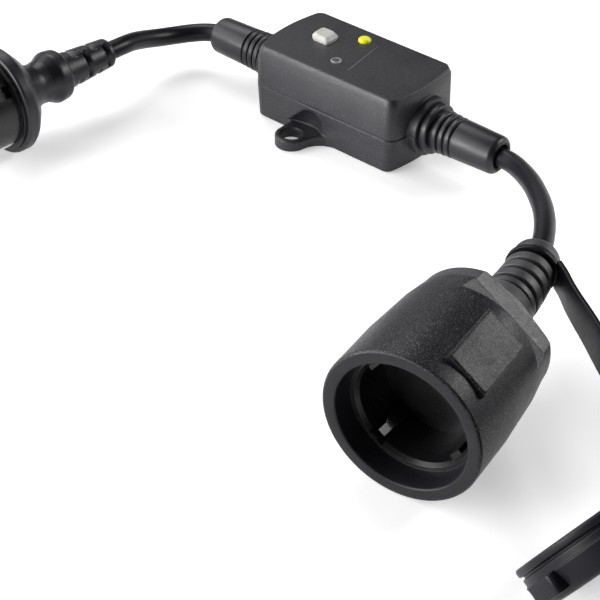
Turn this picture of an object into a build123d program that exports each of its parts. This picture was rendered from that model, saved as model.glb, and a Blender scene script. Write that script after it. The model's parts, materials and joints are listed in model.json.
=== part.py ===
"""Adapter cable with an inline residual current device.

A box with reset and test buttons sits between an earthed plug and an
earthed coupling socket with a tethered rubber cap.  Millimetres, +Z up.
The origin is the centre of the box's underside: +X runs along the box
from the plug's side to the coupling's side, and -Y is the side with the
hanging lug.
"""
from build123d import *
from math import cos, pi, radians, sin, sqrt, tan
import os

os.makedirs("parts", exist_ok=True)

# Clearances
fit_gap = 0.05          # between pieces held together
slide_gap = 0.35        # between a moving piece and what guides it
hinge_gap = 0.3         # between the rounded ends of the rubber hinges
rim_gap = 0.4           # between the cap and the coupling's rim

# Case of the box
case_length = 72.4      # at the seam, corner to corner
case_width = 43.0
case_height = 33.6
seam_z = 16.0           # joint between the shells, and height of both glands
end_bow = 2.5           # how far the ends bulge at the middle
corner_r = 5.0
wall = 2.0
foot_inset = 0.95       # draft of the lower shell
foot_chamfer = 0.8
shoulder_inset = 0.55   # draft of the upper shell up to the bevel
bevel_height = 2.7
top_inset = 1.75        # edge of the flat top
seam_step = 0.35        # shadow line along the seam
seam_step_h = 0.5
gasket_size = 0.8       # square section
gasket_inset = 0.85     # from the outer face to the gasket

# Hanging lug
lug_x = -9.6
lug_y = -28.4
lug_r = 6.9
lug_hole_r = 4.7
lug_height = 4.6
lug_edge = 0.7
lug_blend_r = 11.0      # sweep into the case on the coupling's side
lug_corner_r = 2.0      # tight corner on the plug's side
scoop_r = 8.5           # tool scoop behind the lug
scoop_x = -5.6          # centre of its rounded end
scoop_y = -27.0
scoop_z = 7.7
scoop_lean = 50.0       # degrees from upright of its long side
scoop_run = 16.0

# Case screws
screw_inset_x = 6.7     # from the case's corner lines
screw_inset_y = 6.1
screw_post_r = 4.0
screw_r = 1.5
screw_head_r = 2.7
screw_head_h = 1.8
screw_length = 18.0
screw_sink = 1.2        # head below the underside

# Cables and glands
cable_r = 4.0
core_r = 1.2
core_spread = 1.5       # cores from the cable's axis
collar_r = 12.4         # ring moulded on the case
collar_out = 3.0        # how far it stands off the end wall
seat_r = 11.4           # inner pad behind the end wall
seat_inset = 1.0        # inner pad from the corner of the end wall
gland_flange_r = 9.6
gland_flange_t = 1.6
gland_neck_r = 7.4
gland_length = 33.7     # outside the collar
gland_mouth_r = 5.2
gland_mouth_depth = 6.0
gland_ring_1 = (10.75, 3.5)      # radius and length of each ring
gland_ring_2 = (9.15, 2.3)
gland_ring_3 = (8.95, 2.3)
gland_ring_4 = (8.75, 2.3)
gland_wide_groove = 1.6
gland_thin_groove = 0.7
gland_wide_core_r = 7.75
gland_thin_core_r = 7.7
gland_sleeve_r = 8.5
gland_tip_r = 8.0
gland_tip_round = 2.6
core_run = 0.8          # cores go straight on this far from the jacket's end
core_drop_run = 1.9     # and from there to where they turn down to the board
core_drop_y = 5.0       # outer cores land this far from the middle
core_bend_r = 1.6

# Cable clamps
clamp_gap = 0.2         # to the gland's inner flange
clamp_past = 0.3        # jacket past the clamp
clamp_width = 3.0
clamp_length = 22.0
clamp_t = 2.4
clamp_screw_y = 8.8
clamp_screw_r = 1.1
clamp_head_r = 1.6
clamp_head_h = 1.2
clamp_screw_length = 9.0

# Buttons
reset_x = -18.2
reset_y = 2.6
reset_length = 9.6
reset_width = 8.8
reset_corner = 2.6
reset_proud = 2.7
reset_bevel = 1.5
reset_travel = 2.2
reset_stem_r = 1.9
stem_gap_z = 24.3       # where the reset stem meets the carriage post
test_x = -4.4
test_y = 12.2
test_r = 2.75
test_proud = 1.3
test_bevel = 0.7
test_travel = 0.9
test_stem_r = 1.3
button_gap = 0.2        # round each button in its hole
flange_t = 1.3
flange_out = 1.3
flange_gap = 0.1        # between a button's flange and the ceiling
indicator_x = -2.6
indicator_y = -9.0
indicator_r = 1.6
bezel_r = 2.4
bezel_proud = 0.35
bezel_depth = 3.0

# Board and its parts
board_z = 8.0
board_t = 1.6
board_end_gap = 1.5     # to the cable saddles
board_side_gap = 1.5    # to the long walls
board_gap = 0.5         # round the posts that pass the board
board_post_r = 2.4
board_posts = [(-7.0, -14.8), (10.0, -14.8), (-7.0, 15.2), (12.0, 15.2)]
led_r = 1.5
led_height = 4.0
resistor_r = 1.4
resistor_length = 6.4
resistor_y = -14.0
resistor_places = [-19.5, -11.0, 12.0]
relay_place = (8.2, 11.5)
relay_size = (6.0, 9.0, 7.0)
chip_place = (6.4, -10.3)
chip_size = (4.8, 6.2, 2.2)

# Switch mechanism
frame_x = 7.4           # half length of the contact frame about the reset axis
frame_y = 9.6
frame_top_z = 22.2
frame_wall = 1.6
carriage_t = 2.4
carriage_z = 16.4       # underside of the carriage
carriage_post_r = 2.1
pole_y = 5.4            # pole spacing from the reset axis
bridge_length = 9.4
bridge_width = 3.6
bridge_t = 0.8
tip_r = 1.1
tip_h = 0.6
tip_x = 3.4
contact_rest = 0.3      # left between the tips at full travel
terminal_size = 3.0
wire_d = 0.8            # both button springs
reset_spring_r = 3.2
reset_spring_turns = 4
test_spring_r = 2.1
test_spring_turns = 3
switch_size = 6.0       # post under the test button
switch_top_z = 25.0
stem_in_switch = 0.8
switch_free = 1.3       # below the stem at full travel

# Current transformer, on the X axis
ring_lead = 3.6         # cores bend this far from the ring's face
ring_land = 3.4         # and land this far beyond it
ring_fan = 1.6          # how the cores spread where they land
ring_inset = 12.1       # from the jacket's end
ring_y = 1.5
ring_core_r = 8.0
ring_core_bore = 5.6
ring_core_w = 5.6
winding_t = 1.0
winding_arc = 150.0     # degrees covered by each of two windings
cradle_t = 2.6
cradle_height = 4.9
cradle_width = 13.0

# Trip coil, on the X axis
coil_x = -1.6
coil_y = 1.0
coil_length = 12.4
coil_r = 4.4
coil_flange = 9.6
coil_flange_t = 1.0
coil_tube_r = 2.5
plunger_r = 1.5
plunger_back = 4.4      # free bore behind the pulled plunger
plunger_out = 3.6       # tip beyond the bobbin
plunger_travel = 1.2

# Plug, along its own axis from the relief's end
plug_origin = (-91.5, -52.8, 22.5)
plug_turn = 4.0         # degrees of its axis from -Y towards -X
plug_roll = -50.0       # earth contacts, degrees up from +X
relief_tip_r = 5.2
relief_root_r = 7.3
relief_length = 26.0
relief_slots = 4
relief_slot = 1.9
relief_pitch = 5.4
relief_first = 3.6
relief_web = 3.4        # web left between two slots of a row
relief_sleeve = 0.7     # skin left on the cable under the slots
bulge_r = 10.8
bulge_length = 8.6
waist_r = 8.7
waist_z = 40.0
flare_r = 11.0
flare_z = 47.0
flange_back_r = 16.5
plug_flange_z = 54.0
plug_flange_t = 6.0
plug_flange_r = 22.5
plug_step_r = 20.5
plug_step_t = 1.2
plug_neck_r = 16.0
plug_neck_length = 8.0
nose_r = 18.6
nose_length = 20.3
nose_round = 1.2
pin_r = 2.4
pin_shank_r = 1.9       # the part held in the insert
pin_length = 19.0
pin_spacing = 19.0
pin_root = 25.0         # length of pin held in the insert
pin_round = 1.1
plug_tail_length = 42.0
strip_width = 8.0
strip_t = 0.8
strip_depth = 17.0
notch_width = 5.4
notch_depth = 2.0

# Coupling, along its own axis from the mouth
mouth_centre = (149.3, -164.7, 28.0)
coupling_turn = 8.27    # degrees of its axis from +Y towards -X
coupling_roll = 54.0    # label pad, degrees up from the outer side
rim_r = 28.0
rim_round = 1.2
rim_length = 22.0
mid_in = 0.5            # each drawn in from the rim
mid_z = 30.0
hip_in = 1.2
hip_z = 42.0
shell_length = 50.0
shell_end_in = 2.4
collar_gap = 0.7        # round the plug's flange
collar_draft = 0.9
collar_depth = 8.4
insert_step = 0.7       # insert inside the collar's root
chamber_r = 17.6
flat_in = 8.5           # grip flats, in from the rim
flat_start = 42.5
pad_start = 8.0
pad_end = 35.0
pad_half = 8.2
pad_rise = 1.3          # label pad proud of the rim
pad_corner = 1.0
lip_r = 20.8
lip_depth = 1.4
socket_r = 19.75
socket_depth = 17.5
socket_floor = 3.0
hole_r = 2.75
rib_width = 4.6
rib_height = 1.7
rib_start = 1.6
clip_width = 6.0
clip_t = 0.8
clip_tip_r = 16.8
clip_front = 2.6        # tip behind the collar's root
tube_mouth_r = 3.3      # wide mouth behind each pin hole
tube_mouth_depth = 2.5
tube_grip_r = 2.4
tube_wall = 0.7
tube_end_t = 2.0        # closed end that takes the core
tube_length = 15.0
cover_length = 12.4
cover_in = 0.3          # cover inside the shell's end
cover_groove = 1.7
cover_ridge = 4.0
cover_groove_w = 2.0
cover_end_in = 1.3
cover_end_round = 1.4
neck_shoulder_r = 19.5
neck_shoulder_z = 18.0
neck_mid_r = 15.0
neck_mid_z = 23.0
neck_end_r = 10.4
neck_end_z = 27.0       # from the shell's end
boot_flange_r = 10.4
boot_flange_t = 2.0
boot_seat = 4.6         # neck wall that holds the boot
boot_core_r = 7.4
boot_length = 28.0
boot_bend = 11.0        # degrees that the boot curves towards the box
boot_rings = [(3.0, 4.6, 9.8), (9.4, 4.2, 9.5), (15.1, 3.5, 9.1)]  # start, length, radius
boot_tip_start = 23.4
boot_tip_r = 8.9
boot_tip_round = 2.0
coupling_tail_end = 61.0
earth_core_out = 2.2    # third core from the axis, clear of the other two

# Tether
tether_start = 20.2     # along the boot, middle of the ring
tether_ring_t = 2.0
tether_ring_r = 9.7
ring_gap = 0.08
strap_height = 12.0
strap_t = 1.8
strap_way = (0.82, -0.57, 0.0)   # how the strap leaves the ring
strap_reach = 2.0
strap_first_lean = 0.0  # degrees, and the last lean is the cap's
strap_steps = 14
strap_points = [(152.0, -73.2, 28.2), (166.0, -83.8, 28.5), (182.0, -96.2, 29.0),
                (200.0, -109.2, 30.2), (213.0, -117.3, 31.4)]
fold_r = 5.0

# Cap, along its own axis from the open face
cap_centre = (216.5, -156.9, 31.9)
cap_turn = 9.0          # degrees of its level diameter from +Y towards +X
cap_lean = 29.0         # degrees that its axis dips below level
cap_rim_t = 2.6
cap_groove_t = 0.8
cap_band_t = 2.4
cap_rim_wall = 2.6      # from the bore outwards
cap_groove_wall = 1.3
cap_band_wall = 2.2
cap_body_wall = 2.8
cap_end_taper = 1.0
cap_length = 13.8
cap_end_round = 2.4
cap_end_wall = 2.3
spigot_gap = 0.4
spigot_t = 1.8
spigot_start = 3.5
tab_length = 6.2
tab_out = 2.3
tab_width = 13.0
cap_reach = 2.5         # from the rim to the hinge

# Free cables: a run along each axis at the ends, and points chosen by hand
plug_run = 6.6
boot_run = 7.0
gland_run = 6.4
supply_points = [(-92.5, -38.2, 21.0), (-93.6, -29.9, 18.4), (-93.3, -21.5, 15.9),
                 (-91.4, -13.7, 14.6), (-87.7, -7.1, 14.5), (-82.3, -2.4, 15.2)]
outlet_points = [(81.9, -1.8, 16.8), (89.4, -6.3, 18.2), (98.0, -13.0, 20.1),
                 (106.5, -21.6, 22.3), (114.9, -31.3, 24.5), (122.4, -42.2, 26.6)]

# Places worked out from the sizes
ceiling_z = case_height - wall
half_length = case_length / 2
half_width = case_width / 2
seat_x = half_length - seat_inset
clamp_x = seat_x - gland_flange_t - clamp_gap - clamp_width / 2
tail_end_x = clamp_x - clamp_width / 2 - clamp_past
core_bend_x = tail_end_x - core_run - core_drop_run
screw_x = half_length - screw_inset_x
screw_y = half_width - screw_inset_y
board_half_x = clamp_x - clamp_width / 2 - board_end_gap
board_half_y = half_width - wall - board_side_gap
ring_x = tail_end_x - ring_inset
board_top = board_z + board_t
collar_x = half_length + end_bow + collar_out
gland_end_x = collar_x + gland_length
tail_x = gland_end_x - gland_mouth_depth
nose_z = plug_flange_z + plug_flange_t
insert_back = plug_flange_z + plug_flange_t - plug_neck_length
mid_r = rim_r - mid_in
hip_r = rim_r - hip_in
shell_end_r = rim_r - shell_end_in
flat_x = rim_r - flat_in
pad_x = rim_r + pad_rise
cover_r = shell_end_r - cover_in
cover_end_r = cover_r - cover_end_in
collar_mouth_r = plug_flange_r + collar_gap
collar_root_r = collar_mouth_r - collar_draft
insert_r = collar_root_r - insert_step
socket_floor_z = collar_depth + socket_depth
socket_back = socket_floor_z + socket_floor
tube_end_z = socket_back + clip_t + tube_length
boot_start = shell_length + neck_end_z
boot_radius = boot_length / radians(boot_bend)
cap_bore_r = rim_r + rim_gap
cap_rim_r = cap_bore_r + cap_rim_wall
cap_groove_r = cap_bore_r + cap_groove_wall
cap_band_r = cap_bore_r + cap_band_wall
cap_body_r = cap_bore_r + cap_body_wall
cap_end_r = cap_bore_r + cap_end_taper
bridge_z = carriage_z - bridge_t
fixed_top = bridge_z - 2 * tip_h - contact_rest - reset_travel
plunger_length = plunger_out + coil_length - plunger_back - plunger_travel
switch_bore_depth = stem_in_switch + test_travel + switch_free


def axis_frame(origin, way, side):
    """Location at origin with its Z along way and its X towards side."""
    return Plane(origin=origin, x_dir=side, z_dir=way).location


plug_side = (cos(radians(plug_turn)), -sin(radians(plug_turn)), 0)
plug_way = (-sin(radians(plug_turn)), -cos(radians(plug_turn)), 0)
plug_place = axis_frame(plug_origin, plug_way, plug_side) * Rot(0, 0, plug_roll)

coupling_side = (cos(radians(coupling_turn)), sin(radians(coupling_turn)), 0)
coupling_way = (-sin(radians(coupling_turn)), cos(radians(coupling_turn)), 0)
coupling_level = axis_frame(mouth_centre, coupling_way, coupling_side)
coupling_place = coupling_level * Rot(0, 0, -coupling_roll)

cap_level = (sin(radians(cap_turn)), cos(radians(cap_turn)), 0)
cap_way = (cos(radians(cap_lean)) * cos(radians(cap_turn)),
           -cos(radians(cap_lean)) * sin(radians(cap_turn)),
           -sin(radians(cap_lean)))
cap_place = axis_frame(cap_centre, cap_way, cap_level)


def along_boot(distance):
    """Place on the boot's curved axis, in the coupling's level frame."""
    turn = distance / boot_radius
    swing = boot_radius * (1 - cos(turn))
    climb = boot_start + boot_radius * sin(turn)
    return Pos(-swing, 0, climb) * Rot(0, -turn * 180 / pi, 0)


boot_end = coupling_level * along_boot(boot_length)
ring_place = coupling_level * along_boot(tether_start)


def profile(corners):
    """Face in the XZ plane from (radius, height, rounding) corners."""
    points = [(corner[0], corner[1]) for corner in corners]
    rounds = [corner[2] if len(corner) > 2 else 0 for corner in corners]
    return Rot(90, 0, 0) * make_face(FilletPolyline(*points, radius=rounds, close=True))


def turned(corners):
    """Solid of revolution about Z."""
    return revolve(profile(corners), Axis.Z)


def disc(radius, start, length):
    """Cylinder along Z from start."""
    return Pos(0, 0, start) * extrude(Circle(radius), length)


def ring(outer, inner, start, length):
    return disc(outer, start, length) - disc(inner, start, length)


def block(x0, x1, y0, y1, z0, z1):
    """Box between two opposite corners."""
    centre = Pos((x0 + x1) / 2, (y0 + y1) / 2, (z0 + z1) / 2)
    return centre * Box(abs(x1 - x0), abs(y1 - y0), abs(z1 - z0))


def wire_path(points, bend):
    return FilletPolyline(*points, radius=[bend] * (len(points) - 2))


def swept_tube(path, start, way, radius):
    """Round tube along a path."""
    return sweep(Plane(origin=start, z_dir=way) * Circle(radius), path=path)


def wire(points, bend, radius=core_r):
    """Round wire through points, every corner bent alike."""
    way = Vector(points[1]) - Vector(points[0])
    return swept_tube(wire_path(points, bend), points[0], way, radius)


def free_cord(name, points):
    """Tube of straight runs and tangent arcs, each arc as large as its runs allow."""
    stops = [Vector(*point) for point in points]
    runs = [after - before for before, after in zip(stops, stops[1:])]
    radii = []
    for before, after in zip(runs, runs[1:]):
        half_turn = radians(before.get_angle(after)) / 2
        radii.append(0.45 * min(before.length, after.length) / tan(half_turn))
    path = FilletPolyline(*stops, radius=radii)
    tube = swept_tube(path, stops[0], runs[0], cable_r)
    print(name, "length", round(path.length, 1), "radii", [round(r, 1) for r in radii])
    print(name, "volume ratio", round(tube.volume / (pi * cable_r ** 2 * path.length), 4))
    return tube


def save(name, *solids):
    """Write one sub-part; several solids make a group."""
    shapes = [solid for shape in solids for solid in shape.solids()]
    whole = shapes[0] if len(shapes) == 1 else Compound(children=shapes)
    export_step(whole, "parts/" + name + ".step")


def both_ends(shape):
    """A shape at +X and its mirror image at -X."""
    return [shape, mirror(shape, Plane.YZ)]


# Case shells
def case_face(inset, z):
    """Level outline of the case, drawn in by inset."""
    x = case_length / 2 - inset
    y = case_width / 2 - inset
    bow = x + end_bow
    outline = Curve() + [
        Line((-x, -y), (x, -y)),
        ThreePointArc((x, -y), (bow, 0), (x, y)),
        Line((x, y), (-x, y)),
        ThreePointArc((-x, y), (-bow, 0), (-x, -y)),
    ]
    face = make_face(outline)
    return Pos(0, 0, z) * fillet(face.vertices(), corner_r - inset)


def case_stack(*levels):
    """Ruled body through (inset, height) levels."""
    body = None
    for below, above in zip(levels, levels[1:]):
        slab = loft([case_face(*below), case_face(*above)], ruled=True)
        body = slab if body is None else body + slab
    return body


def gland_axis(shape, sign):
    """Lay a shape made about Z along the gland axis on the side of sign."""
    return Pos(0, 0, seam_z) * Rot(0, 90 * sign, 0) * shape


def case_outer():
    """Whole outer form, both shells, with the gland collars."""
    low_step = seam_z - seam_step_h
    foot_step = foot_inset + foot_chamfer
    body = case_stack((foot_step, 0), (foot_inset, foot_chamfer), (0, low_step))
    body += case_stack((seam_step, low_step), (seam_step, seam_z))
    body += case_stack((0, seam_z), (shoulder_inset, case_height - bevel_height),
                       (top_inset, case_height))
    for sign in (1, -1):
        body += gland_axis(disc(collar_r, seat_x, collar_x - seat_x), sign)
    return body


def case_hollow():
    """Space inside both shells, less the pads behind the glands."""
    roof = case_height - bevel_height
    space = case_stack((wall + foot_inset, wall), (wall, seam_z))
    space += case_stack((wall, seam_z), (wall + shoulder_inset, roof - wall / 2),
                        (wall + top_inset, ceiling_z))
    for sign in (1, -1):
        space -= gland_axis(disc(seat_r, seat_x, collar_out + end_bow + wall), sign)
    return space


def gland_bores():
    return [gland_axis(disc(gland_neck_r + fit_gap, seat_x - 1, collar_x - seat_x + 2), sign)
            for sign in (1, -1)]


def lug():
    """Eye for hanging, swept into the case on one side."""
    edge_y = -case_width / 2 + foot_inset + wall / 2
    depth = edge_y - lug_y
    sweep_x = lug_x + sqrt((lug_r + depth) * (lug_r + 2 * lug_blend_r - depth))
    sweep_y = edge_y - lug_blend_r
    corner_x = lug_x - lug_r - lug_corner_r
    web = make_face(Polyline((lug_x, lug_y), (sweep_x, sweep_y), (sweep_x, edge_y),
                             (corner_x, edge_y), (corner_x, edge_y - lug_corner_r),
                             (lug_x - lug_r, edge_y - lug_corner_r), (lug_x - lug_r, lug_y),
                             close=True))
    face = web + Pos(lug_x, lug_y) * Circle(lug_r)
    face -= Pos(sweep_x, sweep_y) * Circle(lug_blend_r)
    face -= Pos(corner_x, edge_y - lug_corner_r) * Circle(lug_corner_r)
    body = extrude(face, lug_height)
    edge = body.edges().group_by(Axis.Z)[-1].filter_by(GeomType.CIRCLE)
    return fillet(edge.sort_by(Axis.Y)[0], lug_edge)


def scoop(grow):
    """Tool scoop cut into the wall above the lug, grown by grow."""
    radius = scoop_r + grow
    way = Pos(scoop_x, scoop_y, scoop_z)
    body = way * Sphere(radius)
    body += way * disc(radius, -scoop_z, scoop_z)
    body += way * Rot(0, scoop_lean - 180, 0) * disc(radius, 0, scoop_run)
    reach = scoop_run + 2 * radius
    floor = lug_height - grow
    return body & block(scoop_x - reach, scoop_x + reach, scoop_y, scoop_y + reach,
                        floor, seam_z - seam_step_h)


def screw_places():
    return [(x, y) for x in (-screw_x, screw_x) for y in (-screw_y, screw_y)]


def posts(places, radius, start, end):
    body = None
    for x, y in places:
        post = Pos(x, y) * disc(radius, start, end - start)
        body = post if body is None else body + post
    return body


def clamp_places():
    return [(x, y) for x in (-clamp_x, clamp_x) for y in (-clamp_screw_y, clamp_screw_y)]


def gasket():
    """Square rubber cord in the seam, cut where the glands pass."""
    outer = gasket_inset
    inner = gasket_inset + gasket_size
    low = seam_z - gasket_size / 2
    body = extrude(case_face(outer, low), gasket_size)
    body -= extrude(case_face(inner, low), gasket_size)
    for bore in gland_bores():
        body -= bore
    return body


def saddle_blocks():
    """Cable saddles that stand on the lower shell."""
    half = clamp_length / 2
    saddle = block(clamp_x - clamp_width / 2, clamp_x + clamp_width / 2, -half, half,
                   wall, seam_z)
    return both_ends(saddle - gland_axis(disc(cable_r, 0, gland_end_x), 1))


def case_pilot():
    """Screw and clamp holes of the lower shell."""
    holes = posts(screw_places(), screw_r + fit_gap, -1, seam_z + 1)
    holes += posts(screw_places(), screw_head_r + slide_gap, -1, screw_sink + screw_head_h)
    holes += posts(clamp_places(), clamp_screw_r + fit_gap,
                   seam_z + clamp_t - clamp_screw_length, seam_z + 1)
    return holes


def make_case():
    outer = case_outer()
    hollow = case_hollow()
    far = case_length + gland_end_x
    below = block(-far, far, -far, far, -1, seam_z)
    above = block(-far, far, -far, far, seam_z, case_height + 1)
    bores = gland_bores()

    bottom = (outer & below) - hollow
    bottom += scoop(wall) & (outer & below)
    bottom += posts(screw_places(), screw_post_r, wall, seam_z) & (outer & below)
    bottom += posts(board_posts, board_post_r, wall, board_z)
    for saddle in saddle_blocks():
        bottom += saddle
    bottom += lug()
    bottom -= scoop(0)
    bottom -= Pos(lug_x, lug_y) * disc(lug_hole_r, -1, lug_height + 2)
    bottom -= case_pilot()

    top = (outer & above) - hollow
    top += posts(screw_places(), screw_post_r, seam_z, ceiling_z)
    pilot_end = screw_sink + screw_head_h + screw_length + 1
    top -= posts(screw_places(), screw_r + fit_gap, seam_z - 1, pilot_end)
    top -= Pos(reset_x, reset_y) * reset_prism(button_gap, ceiling_z - 1, wall + 2)
    top -= Pos(test_x, test_y) * disc(test_r + button_gap, ceiling_z - 1, wall + 2)
    top -= Pos(indicator_x, indicator_y) * disc(bezel_r, ceiling_z - 1, wall + 2)

    seal = gasket()
    for bore in bores:
        bottom -= bore
        top -= bore
    save("case_bottom", bottom - seal)
    save("case_top", top - seal)
    save("case_gasket", seal)
    save("case_screws", *case_screws())


def case_screws():
    neck = screw_sink + screw_head_h
    screw = disc(screw_head_r, screw_sink, screw_head_h) + disc(screw_r, neck, screw_length)
    screw -= block(-screw_r, screw_r, -0.4, 0.4, 0, screw_sink + screw_head_h / 2)
    return [Pos(x, y) * screw for x, y in screw_places()]


# Buttons
def reset_face(grow):
    """D-shaped outline: two facets on the plug's side, a slanted front."""
    x = reset_length / 2 + grow
    y = reset_width / 2 + grow
    return make_face(FilletPolyline((-x, -y * 0.62), (-x * 0.45, -y), (x, -y), (x, y * 0.7),
                                    (x * 0.55, y), (-x, y),
                                    radius=[reset_corner * 0.5, reset_corner * 0.6,
                                            reset_corner * 0.5, reset_corner * 0.6,
                                            reset_corner, reset_corner * 0.5], close=True))


def reset_prism(grow, start, length):
    return Pos(0, 0, start) * extrude(reset_face(grow), length)


def flange_top():
    return ceiling_z - flange_gap


def reset_button():
    top = case_height + reset_proud
    shoulder = top - reset_bevel
    under = flange_top() - flange_t
    head = reset_prism(0, flange_top() - fit_gap, shoulder - flange_top() + fit_gap)
    head += loft([Pos(0, 0, shoulder) * reset_face(0),
                  Pos(0, 0, top) * reset_face(-reset_bevel * 0.8)], ruled=True)
    head += reset_prism(flange_out, under, flange_t)
    head += disc(reset_stem_r, stem_gap_z, under - stem_gap_z + fit_gap)
    return Pos(reset_x, reset_y) * head


def test_button():
    top = case_height + test_proud
    under = flange_top() - flange_t
    stem_end = switch_top_z - stem_in_switch
    head = turned([(0, stem_end), (test_stem_r, stem_end), (test_stem_r, under),
                   (test_r + flange_out, under), (test_r + flange_out, flange_top()),
                   (test_r, flange_top()), (test_r, top - test_bevel, test_bevel * 0.4),
                   (test_r - test_bevel, top, test_bevel * 0.4), (0, top)])
    return Pos(test_x, test_y) * head


def coil_spring(radius, start, end, turns):
    """Open spring, its ends drawn in to flat seats by the wire's own radius."""
    low = start + wire_d / 2
    high = end - wire_d / 2
    path = Helix((high - low) / turns, high - low, radius)
    section = Plane(origin=(radius, 0, 0), x_dir=(1, 0, 0), z_dir=(0, 1, 0)) * Circle(wire_d / 2)
    return Pos(0, 0, low) * sweep(section, path=path)


def make_buttons():
    under = flange_top() - flange_t
    save("reset_button", reset_button())
    save("test_button", test_button())
    reset_coil = coil_spring(reset_spring_r, frame_top_z, under, reset_spring_turns)
    save("reset_spring", Pos(reset_x, reset_y) * reset_coil)
    test_coil = coil_spring(test_spring_r, switch_top_z, under, test_spring_turns)
    save("test_spring", Pos(test_x, test_y) * test_coil)

    bezel_top = case_height + bezel_proud
    bezel_low = case_height - bezel_depth
    seat = Pos(indicator_x, indicator_y)
    bezel = turned([(indicator_r + fit_gap, bezel_low), (bezel_r - fit_gap, bezel_low),
                    (bezel_r - fit_gap, bezel_top - 0.2), (bezel_r - 0.3, bezel_top),
                    (indicator_r + fit_gap, bezel_top)])
    save("indicator_bezel", seat * bezel)
    lens = turned([(0, board_top + led_height), (indicator_r, board_top + led_height),
                   (indicator_r, case_height), (indicator_r - 0.4, bezel_top), (0, bezel_top)])
    save("indicator_lens", seat * lens)


# Board and mechanism
def make_board():
    board = block(-board_half_x, board_half_x, -board_half_y, board_half_y, board_z, board_top)
    board -= posts(screw_places(), screw_post_r + board_gap, board_z - 1, board_top + 1)
    board -= scoop(wall + board_gap)
    save("circuit_board", board)

    resistor = Rot(0, 90, 0) * disc(resistor_r, -resistor_length / 2, resistor_length)
    parts = [Pos(indicator_x, indicator_y) * disc(led_r, board_top, led_height)]
    for x in resistor_places:
        parts.append(Pos(x, resistor_y, board_top + resistor_r) * resistor)
    for place, size in ((relay_place, relay_size), (chip_place, chip_size)):
        parts.append(Pos(*place, board_top + size[2] / 2) * Box(*size))
    save("board_components", *parts)


def make_transformer():
    """Ring core with two windings, in a cradle on the board."""
    width = ring_core_w + 2 * winding_t
    outer = ring_core_r + winding_t
    inner = ring_core_bore - winding_t
    centre_z = board_top + cradle_t / 2 + outer
    place = Pos(ring_x, ring_y, centre_z) * Rot(0, 90, 0)
    core = ring(ring_core_r, ring_core_bore, -ring_core_w / 2, ring_core_w)
    sheath = ring(outer, inner, -width / 2, width) - core
    reach = 4 * outer
    low = reach * tan(radians(90 - winding_arc / 2))
    sector = make_face(Polyline((0, 0), (reach, low), (reach, 2 * reach), (-reach, 2 * reach),
                                (-reach, low), close=True))
    wedge = Pos(0, 0, -width) * extrude(sector, 2 * width)
    windings = [sheath & wedge, sheath & (Rot(0, 0, 180) * wedge)]
    save("transformer_core", place * core)
    save("transformer_winding", *[place * winding for winding in windings])
    cradle = block(ring_x - width / 2, ring_x + width / 2, ring_y - cradle_width / 2,
                   ring_y + cradle_width / 2, board_top, board_top + cradle_height)
    cradle -= place * disc(outer, -width, 2 * width)
    save("transformer_cradle", cradle)
    return centre_z


def make_trip():
    """Bobbin, winding and plunger of the trip coil."""
    centre_z = board_top + coil_flange / 2
    place = Pos(coil_x, coil_y, centre_z) * Rot(0, 90, 0)
    half = coil_length / 2
    bobbin = disc(coil_tube_r, -half, coil_length)
    for start in (-half, half - coil_flange_t):
        bobbin += block(-coil_flange / 2, coil_flange / 2, -coil_flange / 2, coil_flange / 2,
                        start, start + coil_flange_t)
    bobbin -= disc(plunger_r + fit_gap, -half - 1, coil_length + 2)
    coil = ring(coil_r, coil_tube_r, coil_flange_t - half, coil_length - 2 * coil_flange_t)
    save("trip_bobbin", place * bobbin)
    save("trip_winding", place * coil)
    plunger = disc(plunger_r, -half - plunger_out, plunger_length)
    save("trip_plunger", place * plunger)


def make_contacts():
    """Frame, sliding carriage and contacts under the reset button."""
    place = Pos(reset_x, reset_y)
    inner_x = frame_x - frame_wall
    inner_y = frame_y - frame_wall
    frame = block(-frame_x, frame_x, -frame_y, frame_y, board_top, frame_top_z)
    frame -= block(-inner_x, inner_x, -inner_y, inner_y, board_top - 1, frame_top_z - frame_wall)
    frame -= disc(carriage_post_r + slide_gap, frame_top_z - frame_wall - 1, frame_wall + 2)
    latch_z = board_top + coil_flange / 2
    latch = Pos(frame_x - frame_wall - 1, coil_y - reset_y, latch_z) * Rot(0, 90, 0)
    frame -= latch * disc(plunger_r + slide_gap, 0, frame_wall + 2)
    save("contact_frame", place * frame)

    half_x = inner_x - slide_gap
    half_y = inner_y - slide_gap
    carriage = block(-half_x, half_x, -half_y, half_y, carriage_z, carriage_z + carriage_t)
    carriage += disc(carriage_post_r, carriage_z + carriage_t,
                     stem_gap_z - carriage_z - carriage_t)
    save("contact_carriage", place * carriage)

    bridges = []
    fixed = []
    for y in (-pole_y, pole_y):
        bridge = block(-bridge_length / 2, bridge_length / 2, y - bridge_width / 2,
                       y + bridge_width / 2, bridge_z, carriage_z)
        for x in (-tip_x, tip_x):
            bridge += Pos(x, y) * disc(tip_r, bridge_z - tip_h, tip_h)
            terminal = block(x - terminal_size / 2, x + terminal_size / 2,
                             y - terminal_size / 2, y + terminal_size / 2,
                             board_top, fixed_top)
            fixed.append(place * (terminal + Pos(x, y) * disc(tip_r, fixed_top, tip_h)))
        bridges.append(place * bridge)
    save("moving_contacts", *bridges)
    save("fixed_contacts", *fixed)

    half = switch_size / 2
    seat = Pos(test_x, test_y)
    post = block(-half, half, -half, half, board_top, switch_top_z)
    bore_end = switch_top_z - switch_bore_depth
    post -= disc(test_stem_r + slide_gap, bore_end, switch_bore_depth + 1)
    save("test_switch", seat * post)
    save("test_contact", seat * disc(test_stem_r + slide_gap, bore_end, 0.5))


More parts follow.
